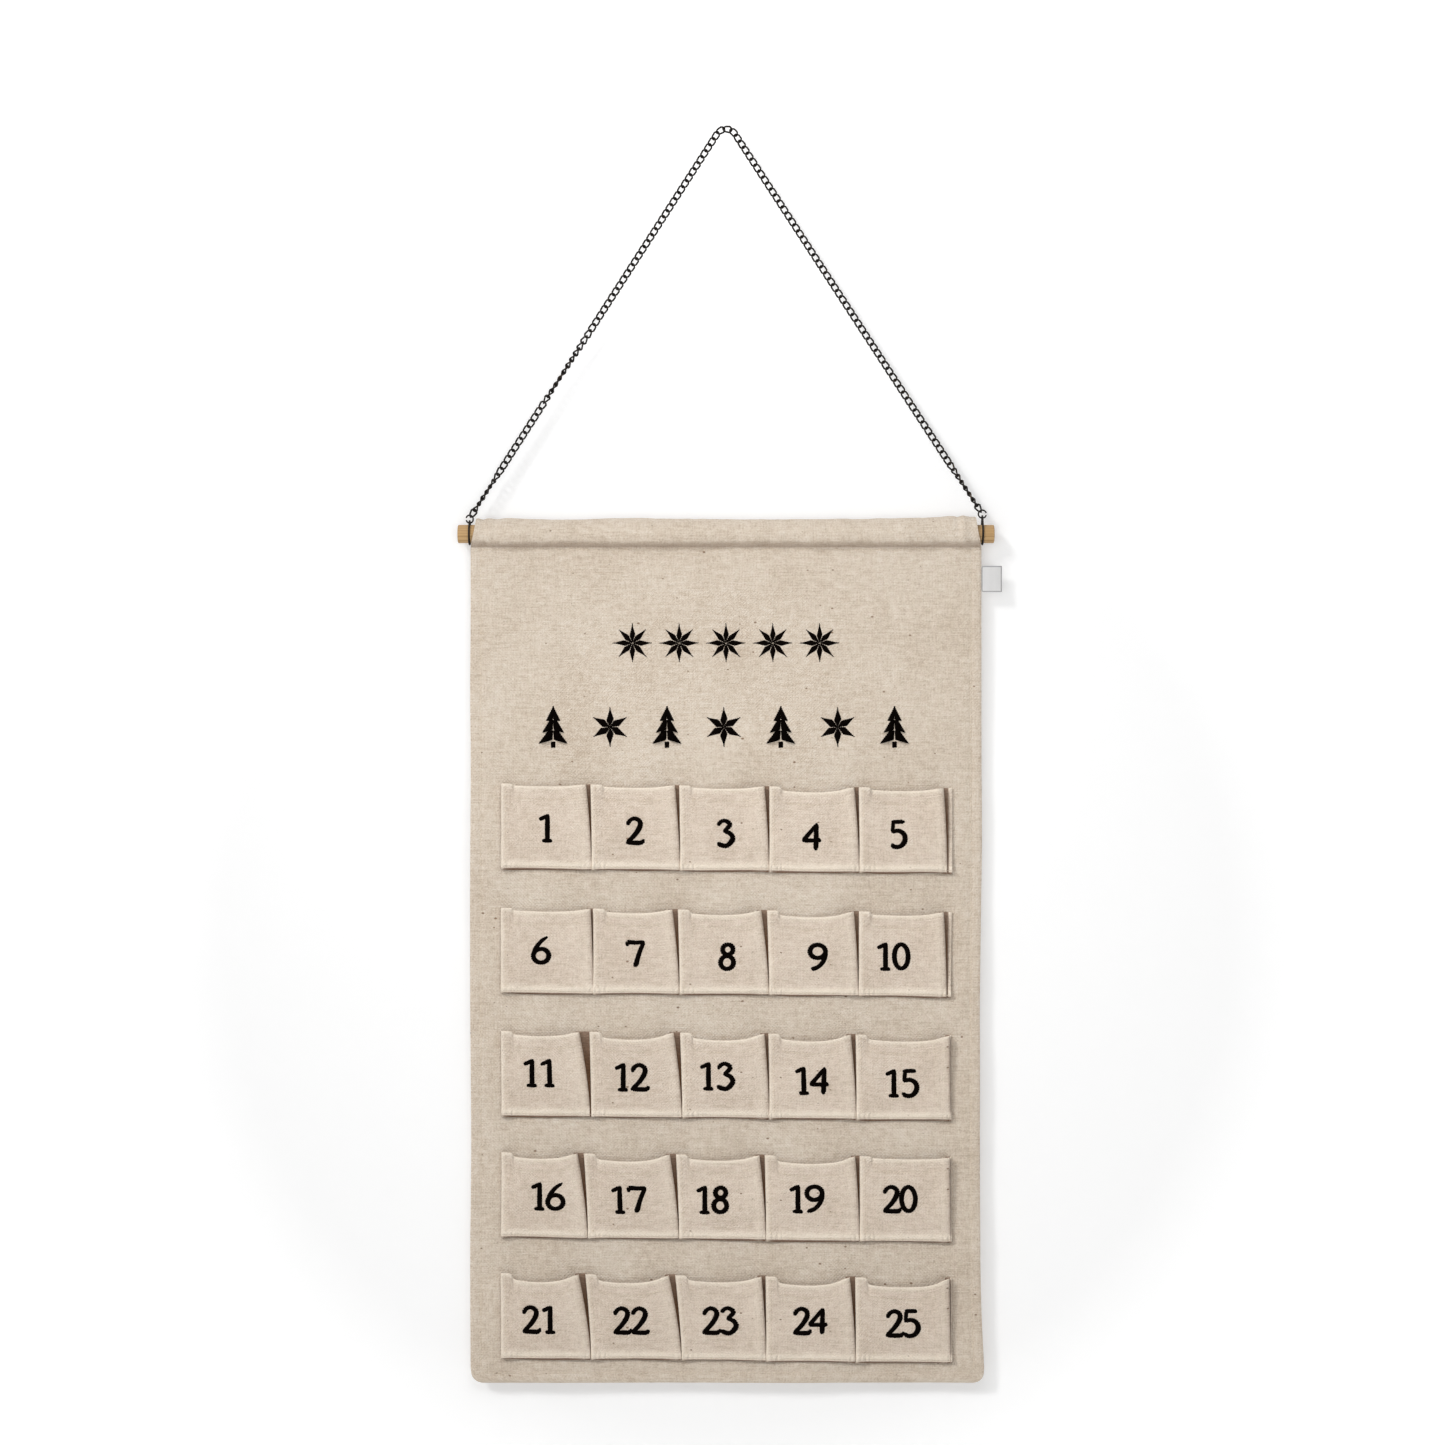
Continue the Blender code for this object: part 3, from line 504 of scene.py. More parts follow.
def finished(obj, name, body, finish, nodes=(), smooth=180):
    """Names a piece, gives it its finish and puts it on its body, in place of its CAD nodes."""
    only(obj)
    bpy.ops.object.transform_apply(location=True, rotation=True, scale=True)
    bpy.ops.object.shade_smooth_by_angle(angle=math.radians(smooth))
    obj.name = name
    obj.data.name = name
    obj.data.materials.clear()
    obj.data.materials.append(finish)
    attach(obj, body)
    if nodes:
        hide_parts(*nodes)
    return obj


def cloth_grid(rows, painted_light_rows=None):
    """A grid of points set in place, with a map of the cloth in metres, smoothed by subdivision."""
    columns = len(rows[0])
    bpy.ops.mesh.primitive_grid_add(x_subdivisions=columns - 1, y_subdivisions=len(rows) - 1, size=2)
    cloth = bpy.context.object
    mesh = cloth.data
    places = []
    for vertex in mesh.vertices:
        column = round((vertex.co.x + 1) / 2 * (columns - 1))
        row = round((vertex.co.y + 1) / 2 * (len(rows) - 1))
        places.append((row, column))
        vertex.co = rows[row][column]
    middle_row = rows[len(rows) // 2]
    middle_column = [row[columns // 2] for row in rows]
    across = np.cumsum([0] + [(b - a).length for a, b in zip(middle_row, middle_row[1:])])
    up = np.cumsum([0] + [(b - a).length for a, b in zip(middle_column, middle_column[1:])])
    cloth_map = mesh.uv_layers.active
    cloth_map.name = CLOTH_MAP
    for loop in mesh.loops:
        row, column = places[loop.vertex_index]
        cloth_map.data[loop.index].uv = (across[column], up[row])
    # Painted light: each point may carry a painted highlight or painted shade, which the canvas's colour
    # reads.
    if painted_light_rows:
        fold = mesh.attributes.new(PAINTED_LIGHT, "FLOAT", "POINT")
        for vertex, (row, column) in zip(mesh.vertices, places):
            fold.data[vertex.index].value = painted_light_rows[row][column]
    smoother = cloth.modifiers.new("smoother", "SUBSURF")
    smoother.levels = 2
    smoother.render_levels = 2
    apply_modifiers(cloth)
    return cloth


def thicken(cloth, thickness):
    """Gives a cloth its thickness, half of it on each side."""
    solid = cloth.modifiers.new("thickness", "SOLIDIFY")
    solid.thickness = thickness
    solid.offset = 0
    apply_modifiers(cloth)


def move_points(obj, change):
    """Moves each vertex of a mesh to where change() puts it."""
    for vertex in obj.data.vertices:
        vertex.co = change(vertex.co)


def copies(template, places):
    """One mesh object with a copy of the template's mesh at each place. The template is removed."""
    mesh = template.data
    points = np.ones((len(mesh.vertices), 4))
    points[:, :3] = [vertex.co for vertex in mesh.vertices]
    corners = [tuple(face.vertices) for face in mesh.polygons]
    moved = np.concatenate([(points @ np.array(place).T)[:, :3] for place in places])
    faces = [tuple(v + i * len(points) for v in face) for i in range(len(places)) for face in corners]
    joined = bpy.data.meshes.new("copies")
    joined.from_pydata(moved.tolist(), [], faces)
    made = bpy.data.objects.new("copies", joined)
    bpy.context.collection.objects.link(made)
    bpy.data.objects.remove(template)
    return made


# How the panel hangs. The odd numbers in a noise's place only pick another part of that noise.


def side_edges(z):
    """The panel's left and right edge at this height."""
    half = PANEL_WIDTH / 2
    if z > SEAM_Z:
        share = (z - SEAM_Z) / (PANEL_HIGH.z - SEAM_Z)
        half -= SLEEVE_SLANT * share + SLEEVE_TUCK * math.sin(math.pi * min(1, share))
    flare = max(0, PANEL_BOTTOM + FLARE_HEIGHT - z) / FLARE_HEIGHT
    return -half, half + FLARE * flare * flare


def settle(point):
    """Where a point of the panel ends up when the cloth hangs: the same for all the layers sewn together."""
    x, y, z = point
    loose = ease((HANG_TOP - z) / HANG_FADE)
    wave = noise.noise(Vector((x / WAVE_WIDTH + 3.1, 4.7, z / WAVE_HEIGHT)))
    rumple = noise.fractal(Vector((x, 0, z)) / RUMPLE_SIZE, 1.0, 2.0, 2)
    side = 1 if x > 0 else -1
    out = min(1, abs(x) / (PANEL_WIDTH / 2))
    flutter = noise.noise(Vector((5.3 * side, 1.9, z / FLUTTER_HEIGHT))) * out**5
    wander = noise.noise(Vector((2.4 * side, 8.2, z / WANDER_HEIGHT))) * out**3
    depth = WAVE_DEPTH * wave + FLUTTER_DEPTH * flutter + RUMPLE * rumple
    return Vector((x + WANDER * wander * loose, y - depth * loose, z))


# Canvas panel


def sleeve_section(offset):
    """The front half of a layer's line in the YZ plane round the dowel, from the seam up to the ridge."""
    reach = DOWEL_DIAMETER / 2 + SEAM_BELOW_DOWEL
    part = math.hypot(CLEARANCE / 2, reach)
    low = math.acos(-SLEEVE_BORE / part) - math.atan2(CLEARANCE / 2, reach)
    outer = SLEEVE_BORE + LAYER + CLOTH
    high = math.acos(outer / (outer + SLEEVE_HEADROOM))
    radius = SLEEVE_BORE + offset
    y = -CLEARANCE / 2 - offset
    points = [(y, (radius + math.sin(low) * y) / math.cos(low))]
    step = (low - high) / SLEEVE_STEPS
    for i in range(SLEEVE_STEPS):
        angle = low - step * (i + 1 / 2)
        reach = radius / math.cos(step / 2)
        points.append((-reach * math.sin(angle), reach * math.cos(angle)))
    points.append((0, radius / math.cos(high)))
    return points


def canvas_rows(offset, inset):
    """A layer's control points: up the front, over the dowel, and down behind it to a short tail."""
    front = -CLEARANCE / 2 - offset
    section = [(y, DOWEL_AXIS.z + z) for y, z in sleeve_section(offset)]
    seam = section[0][1]
    line = []
    for i in range(CORNER_STEPS):
        angle = math.radians(90) * i / CORNER_STEPS
        rise = CORNER_RADIUS * (1 - math.cos(angle))
        line.append((front, PANEL_BOTTOM + inset + rise, CORNER_RADIUS * (1 - math.sin(angle))))
    for height in FOOT_LINES:
        line.append((front, PANEL_BOTTOM + CORNER_RADIUS + height / 2, 0))
    low = line[-1][1]
    for i in range(PANEL_ROWS):
        line.append((front, blend(low, seam, (i + 1) / (PANEL_ROWS + 1)), 0))
    line += [(front, seam - drop, 0) for drop in SEAM_LINES]
    line += [(y, z, 0) for y, z in section]
    back = [(-y, z) for y, z in reversed(section[:-1])]
    line += [(y, z, 0) for y, z in back]
    line.append((-front, seam - SEAM_LINES[-1], 0))
    line.append((-front, seam - TAIL, 0))
    rows = []
    for y, z, tuck in line:
        left, right = side_edges(z)
        left += inset + tuck
        right -= inset + tuck
        narrow = [left + d for d in EDGE_LINES]
        wide = [right - d for d in reversed(EDGE_LINES)]
        between = [
            blend(narrow[-1], wide[0], (i + 1) / (PANEL_COLUMNS + 1)) for i in range(PANEL_COLUMNS)
        ]
        rows.append([Vector((x, y, z)) for x in narrow + between + wide])
    return rows


# Where the seam allowances end inside the sleeve, they press a groove into it: (place along X, depth, width).
SLEEVE_GROOVES = ((-0.1685, 0.0008, 0.0022), (-0.1590, 0.0010, 0.0050), (0.1610, 0.0008, 0.0016))
# The painted shade of the rows of points just below the sleeve's seam, on it and above it.
SEAM_PAINTED_SHADE = {-1: -0.06, 0: -0.46, 1: -0.30}
SLEEVE_PUCKER = 0.0010
SLEEVE_PUCKER_WIDTH = 0.0055
SLEEVE_PUCKER_HEIGHT = 0.0120
SLEEVE_CREASE_HEIGHT = 0.0200
# The seam holds the cloth down over this height, and the wall keeps it flat beyond this depth.
SLEEVE_HELD_HEIGHT = 0.0030
SLEEVE_FLAT_DEPTH = 0.0040
SLEEVE_SWELL = 0.0012
SLEEVE_SWELL_WIDTH = 0.0450
# The sleeve's two ends start this far from the middle and are this long.
SLEEVE_ENDS = 0.1640
SLEEVE_END_LENGTH = 0.0060
RIGHT_RISE_START = 0.1150
RIGHT_RISE_LENGTH = 0.0500
RIGHT_END_RISE = 0.0022
LEFT_END_RISE = 0.0010


def sleeve_shape(point):
    """Lifts the sleeve's cloth off the dowel where it puckers along the seam and swells at its ends."""
    x, y, z = point
    if z < SEAM_Z - 0.0005:
        return point
    out = Vector((0, y, z - DOWEL_AXIS.z)).normalized()
    near_seam = 1 - ease((z - SEAM_Z) / SLEEVE_PUCKER_HEIGHT)
    held = ease((z - SEAM_Z) / SLEEVE_HELD_HEIGHT)
    pucker = 0.5 + noise.noise(Vector((x / SLEEVE_PUCKER_WIDTH, 3.3, z / SLEEVE_CREASE_HEIGHT)))
    swell = 0.4 + noise.noise(Vector((x / SLEEVE_SWELL_WIDTH, 6.1, 0)))
    lift = SLEEVE_PUCKER * max(0, pucker) * (0.35 + near_seam) + SLEEVE_SWELL * max(0, swell)
    # The ends stay close to the dowel, so that the sleeve turns clear of the jump rings.
    lift *= 1 - ease((abs(x) - SLEEVE_ENDS) / SLEEVE_END_LENGTH)
    above = ease(out.z)
    lift += above * RIGHT_END_RISE * ease((x - RIGHT_RISE_START) / RIGHT_RISE_LENGTH)
    lift += above * LEFT_END_RISE * ease((-SLEEVE_ENDS - x) / SLEEVE_END_LENGTH)
    for place, depth, width in SLEEVE_GROOVES:
        lift -= depth * math.exp(-(((x - place) / width) ** 2))
    # The wall behind the dowel keeps the sleeve's back flat.
    free = 1 - ease(y / SLEEVE_FLAT_DEPTH)
    return point + out * held * free * max(-0.0001, lift)


def edge_shape(point):
    """Rolls the face back at the panel's edges, and pulls it in along the topstitching."""
    x, y, z = point
    if y > 0 or z > SEAM_Z:
        return point
    left, right = side_edges(z)
    inside = min(x - left, right - x, z - PANEL_BOTTOM)
    roll = EDGE_ROLL * max(0, 1 - inside / EDGE_ROLL_WIDTH) ** 2
    dimple = STITCH_DIMPLE * math.exp(-(((inside - EDGE_STITCH_INSET) / STITCH_DIMPLE_WIDTH) ** 2))
    return Vector((x, y + roll + dimple, z))


def make_layer(name, node, rows, painted_light_rows, shape):
    """One layer of canvas, hung over the dowel."""
    cloth = cloth_grid(rows, painted_light_rows)
    move_points(cloth, lambda point: settle(shape(point)))
    thicken(cloth, CLOTH)
    finished(cloth, name, "panel", FACE_CANVAS, [node], smooth=50)
    return cloth


def make_panel():
    """The panel's front layer with its sleeve, which is returned, and the back layer inside that sleeve."""
    rows = canvas_rows(LAYER + CLOTH / 2, 0)
    # Painted shade: the cloth is drawn browner down in the crease of the sleeve's seam, where shade falls.
    crease = CORNER_STEPS + len(FOOT_LINES) + PANEL_ROWS + len(SEAM_LINES)
    painted_light_rows = [[SEAM_PAINTED_SHADE.get(i - crease, 0.0)] * len(row) for i, row in enumerate(rows)]

    def face_shape(point):
        return edge_shape(sleeve_shape(point))

    face = make_layer("face_canvas", "front_canvas", rows, painted_light_rows, face_shape)
    lining_rows = canvas_rows(CLOTH / 2, LINING_INSET)
    make_layer("back_canvas", "lining_canvas", lining_rows, None, sleeve_shape)
    return face


# Pocket strips


def strip_frame(row):
    """The strip's left end, its width, and the height of its left bottom corner."""
    low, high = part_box("pocket_strip_" + str(row + 1))
    return low.x, high.x - low.x, high.z - STRIP_HEIGHT


STRIP_FRAMES = [strip_frame(row) for row in range(len(SEAM_SHARES))]


def strip_fall(row, x):
    """How far the strip has dropped at x, because it was sewn on a little aslant."""
    start, width, _ = STRIP_FRAMES[row]
    return STRIP_FALL * (x - start) / width


# Up a strip: (height, how far its hems stand forward, share of the middle's depth, share of the sag, painted
# light:
# a painted highlight above 0, painted shade below 0). The bottom hem is turned under and makes a ridge with a
# painted highlight, the turned edge peeps out below it, painted dark as shade, and the mouth's hem is turned
# inside, with a painted highlight on its rim and painted shade inside.
STRIP_LEVELS = (
    (0.0060, -0.0003, 0.00, 0.0, -1.0),
    (0.0004, -0.0003, 0.00, 0.0, -1.0),
    (-0.0010, -0.0001, 0.00, 0.0, -1.0),
    (-0.0009, 0.0005, 0.00, 0.0, -1.0),
    (0.0001, 0.0010, 0.00, 0.0, -0.7),
    (0.0006, 0.0020, 0.00, 0.0, 0.8),
    (0.0012, 0.0015, 0.00, 0.0, 0.1),
    (0.0019, 0.0021, 0.02, 0.0, 1.0),
    (0.0036, 0.0018, 0.10, 0.0, 0.7),
    (0.0060, 0.0008, 0.30, 0.0, 0.0),
    (0.0150, 0.0003, 0.85, 0.0, 0.0),
    (0.0260, 0.0000, 1.05, 0.1, 0.0),
    (0.0370, 0.0000, 1.10, 0.4, 0.0),
    (0.0460, 0.0000, 1.06, 0.75, 0.0),
    (0.0488, 0.0000, 1.03, 0.85, 0.0),
    (0.0496, -0.0001, 1.02, 0.88, -0.1),
    (0.0504, 0.0001, 1.02, 0.90, 0.0),
    (0.0560, 0.0001, 1.00, 1.0, 0.1),
    (0.0581, 0.0003, 1.00, 1.0, 1.0),
    (0.0585, -0.0001, 1.00, 1.0, 0.6),
    (0.0580, -0.0005, 0.98, 1.0, -0.6),
    (0.0540, -0.0005, 0.96, 1.0, -0.9),
    (0.0498, -0.0004, 0.94, 0.90, -0.9),
)
# Across a pocket's left, from its seam: (place as a share of the overhang, place, shares of the tab's and the
# middle's depth low down, the same two at the mouth, share of the sag, painted light: painted shade at the
# seam and a painted highlight on the fold's edge). The mouth comes out lower beside the folded corner.
TAB_COLUMNS = (
    (0.2, 0.0000, 0.00, 0.00, 0.00, 0.00, 0.00, -1.0),
    (-0.7, 0.0000, 0.30, 0.00, 0.30, 0.00, 0.00, -0.7),
    (-1.0, 0.0001, 0.80, 0.00, 0.80, 0.00, 0.00, 0.4),
    (-0.6, 0.0004, 1.10, 0.05, 1.10, 0.00, 0.00, 0.9),
    (0.0, 0.0018, 0.95, 0.20, 1.00, 0.00, 0.00, 0.2),
    (0.0, 0.0060, 0.40, 0.65, 1.00, 0.00, 0.00, 0.0),
    (0.0, 0.0072, 0.30, 0.74, 0.90, 0.10, 0.10, 0.0),
    (0.0, 0.0080, 0.25, 0.79, 0.40, 0.30, 0.55, 0.0),
    (0.0, 0.0094, 0.18, 0.87, 0.10, 0.70, 0.70, 0.0),
    (0.0, 0.0120, 0.08, 0.97, 0.05, 1.00, 0.78, 0.0),
)
# Back from its right fold's edge: (place at full depth, share of the way from the middle's depth to the
# fold's, share of the sag, painted light). Past the edge the cloth turns in under itself, with painted shade.
ROLL_COLUMNS = (
    (0.0150, 0.40, 0.80, 0.0),
    (0.0080, 0.82, 0.45, 0.1),
    (0.0044, 1.00, 0.15, 0.3),
    (0.0022, 0.95, 0.05, 0.1),
    (0.0007, 0.83, 0.02, -0.1),
)
# The part that turns under: (place at full depth, share of the fold's depth, painted shade).
UNDER_COLUMNS = ((0.0000, 0.64, -0.4), (0.0004, 0.44, -0.9), (0.0026, 0.28, -1.0), (0.0032, 0.10, -1.0))
# Past the last seam: (share of the end tab, how many overhangs it stands forward, painted light).
END_COLUMNS = ((0.10, 0, -0.8), (0.30, 1, 0.0), (0.75, 1.5, 0.2), (1.0, 1, 0.3), (0.95, 0, -0.2))
# Painted light below this is a pleat's painted shade. Above this share of the strip's height a pleat's
# painted shade fades to the next share.
PLEAT_SHADE_LIMIT = -0.1
PLEAT_FADE_START = 0.6
PLEAT_TOP_SHARE = 0.80
# The first pocket's tab laps its seam by this share of the others'.
FIRST_OVERHANG_SHARE = 0.3
# How the lean, the gap and the fold of a pocket grow from its foot to its mouth, as powers.
LEAN_POWER = 1.3
GAP_POWER = 1.6
FOLD_POWER = 0.6


def foot_wave(row, x, height):
    """How far the strip's foot has strayed from its line here."""
    near = 1 - ease(height / FOOT_WAVE_HEIGHT)
    return FOOT_WAVE * near * noise.noise(Vector((x / FOOT_WAVE_LENGTH, 5.3 * row, 0)))


def strip_tints(height, level_painted_light):
    """The painted light of a strip's control points at one height. A pleat's painted shade is dark below, and
    paler at its top, where more light falls in.
    """
    fade = (height / STRIP_HEIGHT - PLEAT_FADE_START) / (1 - PLEAT_FADE_START)
    lit = blend(1.0, PLEAT_TOP_SHARE, ease(fade))

    def tinted(tint):
        if tint < PLEAT_SHADE_LIMIT:
            return tint * lit
        return min(1, max(tint, level_painted_light) if level_painted_light > 0 else tint + level_painted_light)

    # Painted shade, -1, at the seam on each pocket's right.
    pocket = [column[-1] for column in (*TAB_COLUMNS, (0.0,), *ROLL_COLUMNS, *UNDER_COLUMNS, (-1.0,))]
    return [tinted(tint) for tint in (*pocket * POCKETS, *[column[-1] for column in END_COLUMNS])]


def strip_section(row, height, forward, fullness, sagging):
    """A strip's control points at one height, all the way along."""
    start, width, bottom = STRIP_FRAMES[row]
    share = max(0, height - POCKET_FOOT) / (STRIP_HEIGHT - POCKET_FOOT)
    peep = min(0, height)
    end = start + width
    seams = [start + width * s for s in SEAM_SHARES[row][:-1]] + [end - END_TABS[row]]
    leans = [0] + [lean * share**LEAN_POWER for lean in FOLD_LEANS[row]]
    opened = GAP_FOOT_SHARE + (1 - GAP_FOOT_SHARE) * share**GAP_POWER
    middle = MIDDLE_DEPTHS[row] * fullness
    fold = FOLD_DEPTH * blend(FOLD_FOOT_SHARE, 1.0, share**FOLD_POWER)
    tab_depth = TAB_DEPTH * blend(TAB_FOOT_SHARE, 1.0, share * share)
    corner = ease((share - CORNER_START) / CORNER_LENGTH)
    points = []
    for pocket, (left, right) in enumerate(zip(seams, seams[1:])):
        left -= leans[pocket]
        right -= leans[pocket + 1]
        sag = MOUTH_SAGS[row][pocket] * sagging
        overhang = TAB_OVERHANG * (1 if pocket else FIRST_OVERHANG_SHARE)
        for times, place, low_tab, low_deep, top_tab, top_deep, drop, _ in TAB_COLUMNS:
            depth = tab_depth * blend(low_tab, top_tab, corner) + middle * blend(low_deep, top_deep, corner)
            points.append((left + overhang * times + place, depth, sag * drop))
        edge = right - FOLD_GAPS[row][pocket] * opened
        points.append(((left + TAB_COLUMNS[-1][1] + edge - ROLL_COLUMNS[0][0]) / 2, middle * 1.05, sag))
        for place, deep, drop, _ in ROLL_COLUMNS:
            points.append((edge - place, blend(middle, fold, deep), sag * drop))
        for place, deep, _ in UNDER_COLUMNS:
            points.append((edge - place * fold / FOLD_DEPTH, fold * deep, 0))
        points.append((right - TAB_OVERHANG, 0, 0))
    points += [(blend(seams[-1], end, place), TAB_OVERHANG * times, 0) for place, times, _ in END_COLUMNS]
    middle_y = STRIP_FRONT + STRIP_CLOTH / 2
    section = []
    for x, depth, sag in points:
        uneven = PEEP_WAVE * noise.noise(Vector((x / PEEP_WAVE_LENGTH, 2.9 * row, 4.4)))
        z = bottom + height - sag - strip_fall(row, x) + foot_wave(row, x, height) + peep * uneven
        section.append(Vector((x, middle_y - depth - forward, z)))
    return section


def pocket_rumple(row, point):
    """The soft creases of a pocket's front, and the small puckers between the stitches of its foot."""
    x, y, z = point
    height = z - STRIP_FRAMES[row][2] + strip_fall(row, x)
    full = ease((height - RUMPLE_START_HEIGHT) / RUMPLE_WHOLE_HEIGHT)
    full *= ease((STRIP_FRONT - RUMPLE_START_DEPTH - y) / RUMPLE_WHOLE_DEPTH)
    tall = z / POCKET_RUMPLE_SIZE / POCKET_RUMPLE_STRETCH
    crease = noise.fractal(Vector((x / POCKET_RUMPLE_SIZE, 3.7 * row, tall)), 0.9, 2.0, 3)
    patch = noise.noise(Vector((x / FOOT_PUCKER_PATCH, 7.7 * row, 0)))
    pucker = math.cos(math.tau * x / STITCH_PITCH) + patch
    gathered = FOOT_PUCKER * pucker * math.exp(-(((height - FOOT_PUCKER_MIDDLE) / FOOT_PUCKER_SPREAD) ** 2))
    return Vector((x, y - POCKET_RUMPLE * crease * full - gathered, z))


def make_strip(row):
    """One row's strip of cloth, with its foot and its mouth hem folded in, sewn into five pockets."""
    sections = [strip_section(row, *level[:-1]) for level in STRIP_LEVELS]
    cloth = cloth_grid(sections, [strip_tints(level[0], level[-1]) for level in STRIP_LEVELS])
    move_points(cloth, lambda point: settle(pocket_rumple(row, point)))
    thicken(cloth, STRIP_CLOTH)
    number = str(row + 1)
    name = "pocket_row_" + number
    finished(cloth, name, "panel", POCKET_CANVAS, ["pocket_strip_" + number], smooth=60)
    return cloth


# Sewing and embroidery


class Surface:
    """The front of some cloths, on which thread is laid."""

    def __init__(self, *cloths):
        self.trees = []
        for cloth in cloths:
            mesh = cloth.data
            points = [vertex.co.copy() for vertex in mesh.vertices]
            self.trees.append(BVHTree.FromPolygons(points, [tuple(face.vertices) for face in mesh.polygons]))

    def at(self, x, z):
        """The front point at this place and its outward normal."""
        hits = [tree.ray_cast(Vector((x, -0.1, z)), Vector((0, 1, 0))) for tree in self.trees]
        point, normal, _, _ = min((hit for hit in hits if hit[0]), key=lambda hit: hit[0].y)
        return point, normal if normal.y < 0 else -normal


def thread_template(sides, cuts, dip):
    """A thread of unit length along X and unit thickness, that arches up along Z and dives at both ends."""
    bpy.ops.mesh.primitive_cylinder_add(
        vertices=sides, radius=0.5, depth=1, end_fill_type="NOTHING", rotation=(0, math.radians(90), 0)
    )
    thread = bpy.context.object
    only(thread)
    bpy.ops.object.transform_apply(rotation=True)
    bpy.ops.object.mode_set(mode="EDIT")
    for i in range(cuts):
        bpy.ops.mesh.select_all(action="SELECT")
        place = -0.5 + (i + 1) / (cuts + 1)
        bpy.ops.mesh.bisect(plane_co=(place, 0, 0), plane_no=(1, 0, 0))
    bpy.ops.object.mode_set(mode="OBJECT")

    def arched(point):
        bow = 1 - (2 * point.x) ** 2
        slim = blend(THREAD_TIP_SHARE, 1, bow)
        return Vector((point.x, point.y * slim, point.z * slim + dip * (bow - 0.5)))

    move_points(thread, arched)
    return thread


def thread_place(start, end, up, thickness, rise):
    """The matrix that lays a unit thread from start to end, with its arch towards up."""
    along = end - start
    length = along.length
    x = along / length
    y = up.cross(x).normalized()
    z = x.cross(y)
    place = Matrix((x * length, y * thickness, z * rise)).transposed().to_4x4()
    place.translation = (start + end) / 2
    return place


def walk(points, step, length):
    """Pairs of (start, end) of that length, each step along a line through (x, z) points."""
    pairs = []
    run = np.array(points, float)
    legs = np.hypot(*(run[1:] - run[:-1]).T)
    marks = np.concatenate([[0], np.cumsum(legs)])
    for i in range(int((marks[-1] - length) / step) + 1):
        ends = (i * step, i * step + length)
        pairs.append([(np.interp(s, marks, run[:, 0]), np.interp(s, marks, run[:, 1])) for s in ends])
    return pairs


def sew(name, surface, lines, nodes, thickness=THREAD):
    """Rows of machine stitches along lines of (x, z) points on a cloth."""
    places = []
    for points in lines:
        for first, second in walk(points, STITCH_PITCH, STITCH_LENGTH):
            start, up = surface.at(*first)
            end, other_up = surface.at(*second)
            if (end - start).length > 2 * STITCH_LENGTH:
                continue
            places.append(thread_place(start, end, (up + other_up).normalized(), thickness, thickness))
    stitches = copies(thread_template(sides=6, cuts=3, dip=0.5), places)
    finished(stitches, name, "panel", CREAM_THREAD, nodes)


def satin(name, surface, middle, crossings, node):
    """Satin stitch: threads side by side across a shape, over a padding of thicker ones."""
    places = []
    padding = []
    for i, (first, second) in enumerate(crossings):
        start, up = surface.at(middle[0] + first[0], middle[1] + first[1])
        end, other_up = surface.at(middle[0] + second[0], middle[1] + second[1])
        length = (end - start).length
        if length < SATIN_THREAD:
            continue
        up = (up + other_up).normalized()
        rise = max(SATIN_THREAD, length * SATIN_RISE_SHARE) * RANDOM.uniform(0.94, 1.06)
        places.append(thread_place(start, end, up, SATIN_THREAD, rise))
        if i % PADDING_STEP == 1:
            padding.append(thread_place(start, end, up, PADDING_THREAD, rise * PADDING_RISE_SHARE))
    threads = copies(thread_template(sides=5, cuts=3, dip=0.9), places + padding)
    return finished(threads, name, "panel", DARK_THREAD, [node])


def smooth_line(points, closed=False):
    """Finely spaced (x, z, width) points on a Catmull-Rom curve."""
    points = [np.array(p, float) for p in points]
    if closed:
        points = [points[-1], *points, points[0], points[1]]
    else:
        points = [2 * points[0] - points[1], *points, 2 * points[-1] - points[-2]]
    line = []
    for a, b, c, d in zip(points, points[1:], points[2:], points[3:]):
        for t in np.arange(0, 1, 0.05):
            near = 2 * b + (c - a) * t
            line.append(0.5 * (near + (2 * a - 5 * b + 4 * c - d) * t**2 + (3 * b - a - 3 * c + d) * t**3))
    line.append(points[-2])
    return np.array(line)


def stroke_crossings(points, closed=False):
    """The threads across a stroke: pairs of (x, z) points, on its two sides."""
    line = smooth_line(points, closed)
    legs = np.hypot(*(line[1:, :2] - line[:-1, :2]).T)
    marks = np.concatenate([[0], np.cumsum(legs)])
    count = max(2, int(marks[-1] / SATIN_PITCH))
    crossings = []
    for i in range(count + 1):
        s = marks[-1] * i / count
        x, z, width = (np.interp(s, marks, line[:, k]) for k in range(3))
        before = [np.interp(s - SATIN_PITCH, marks, line[:, k]) for k in range(2)]
        after = [np.interp(s + SATIN_PITCH, marks, line[:, k]) for k in range(2)]
        along = math.atan2(after[1] - before[1], after[0] - before[0])
        if not closed:
            end = min(s, marks[-1] - s) / (width / 2)
            width *= math.sqrt(min(1, 0.35 + end))
        width *= RANDOM.uniform(0.95, 1.05)
        across = along + math.radians(90) + SATIN_SLANT
        reach = (math.cos(across) * width / 2, math.sin(across) * width / 2)
        crossings.append(((x - reach[0], z - reach[1]), (x + reach[0], z + reach[1])))
    return crossings


def oval(x, z, wide, tall, side=1.0, top=0.8):
    """A closed ring of (x, z, width) points, heavy at its sides and light at its top and foot."""
    ring = []
    for i in range(12):
        angle = math.tau * i / 12
        weight = blend(top, side, abs(math.sin(angle)))
        ring.append((x + wide * math.sin(angle), z + tall * math.cos(angle), weight))
    return ring


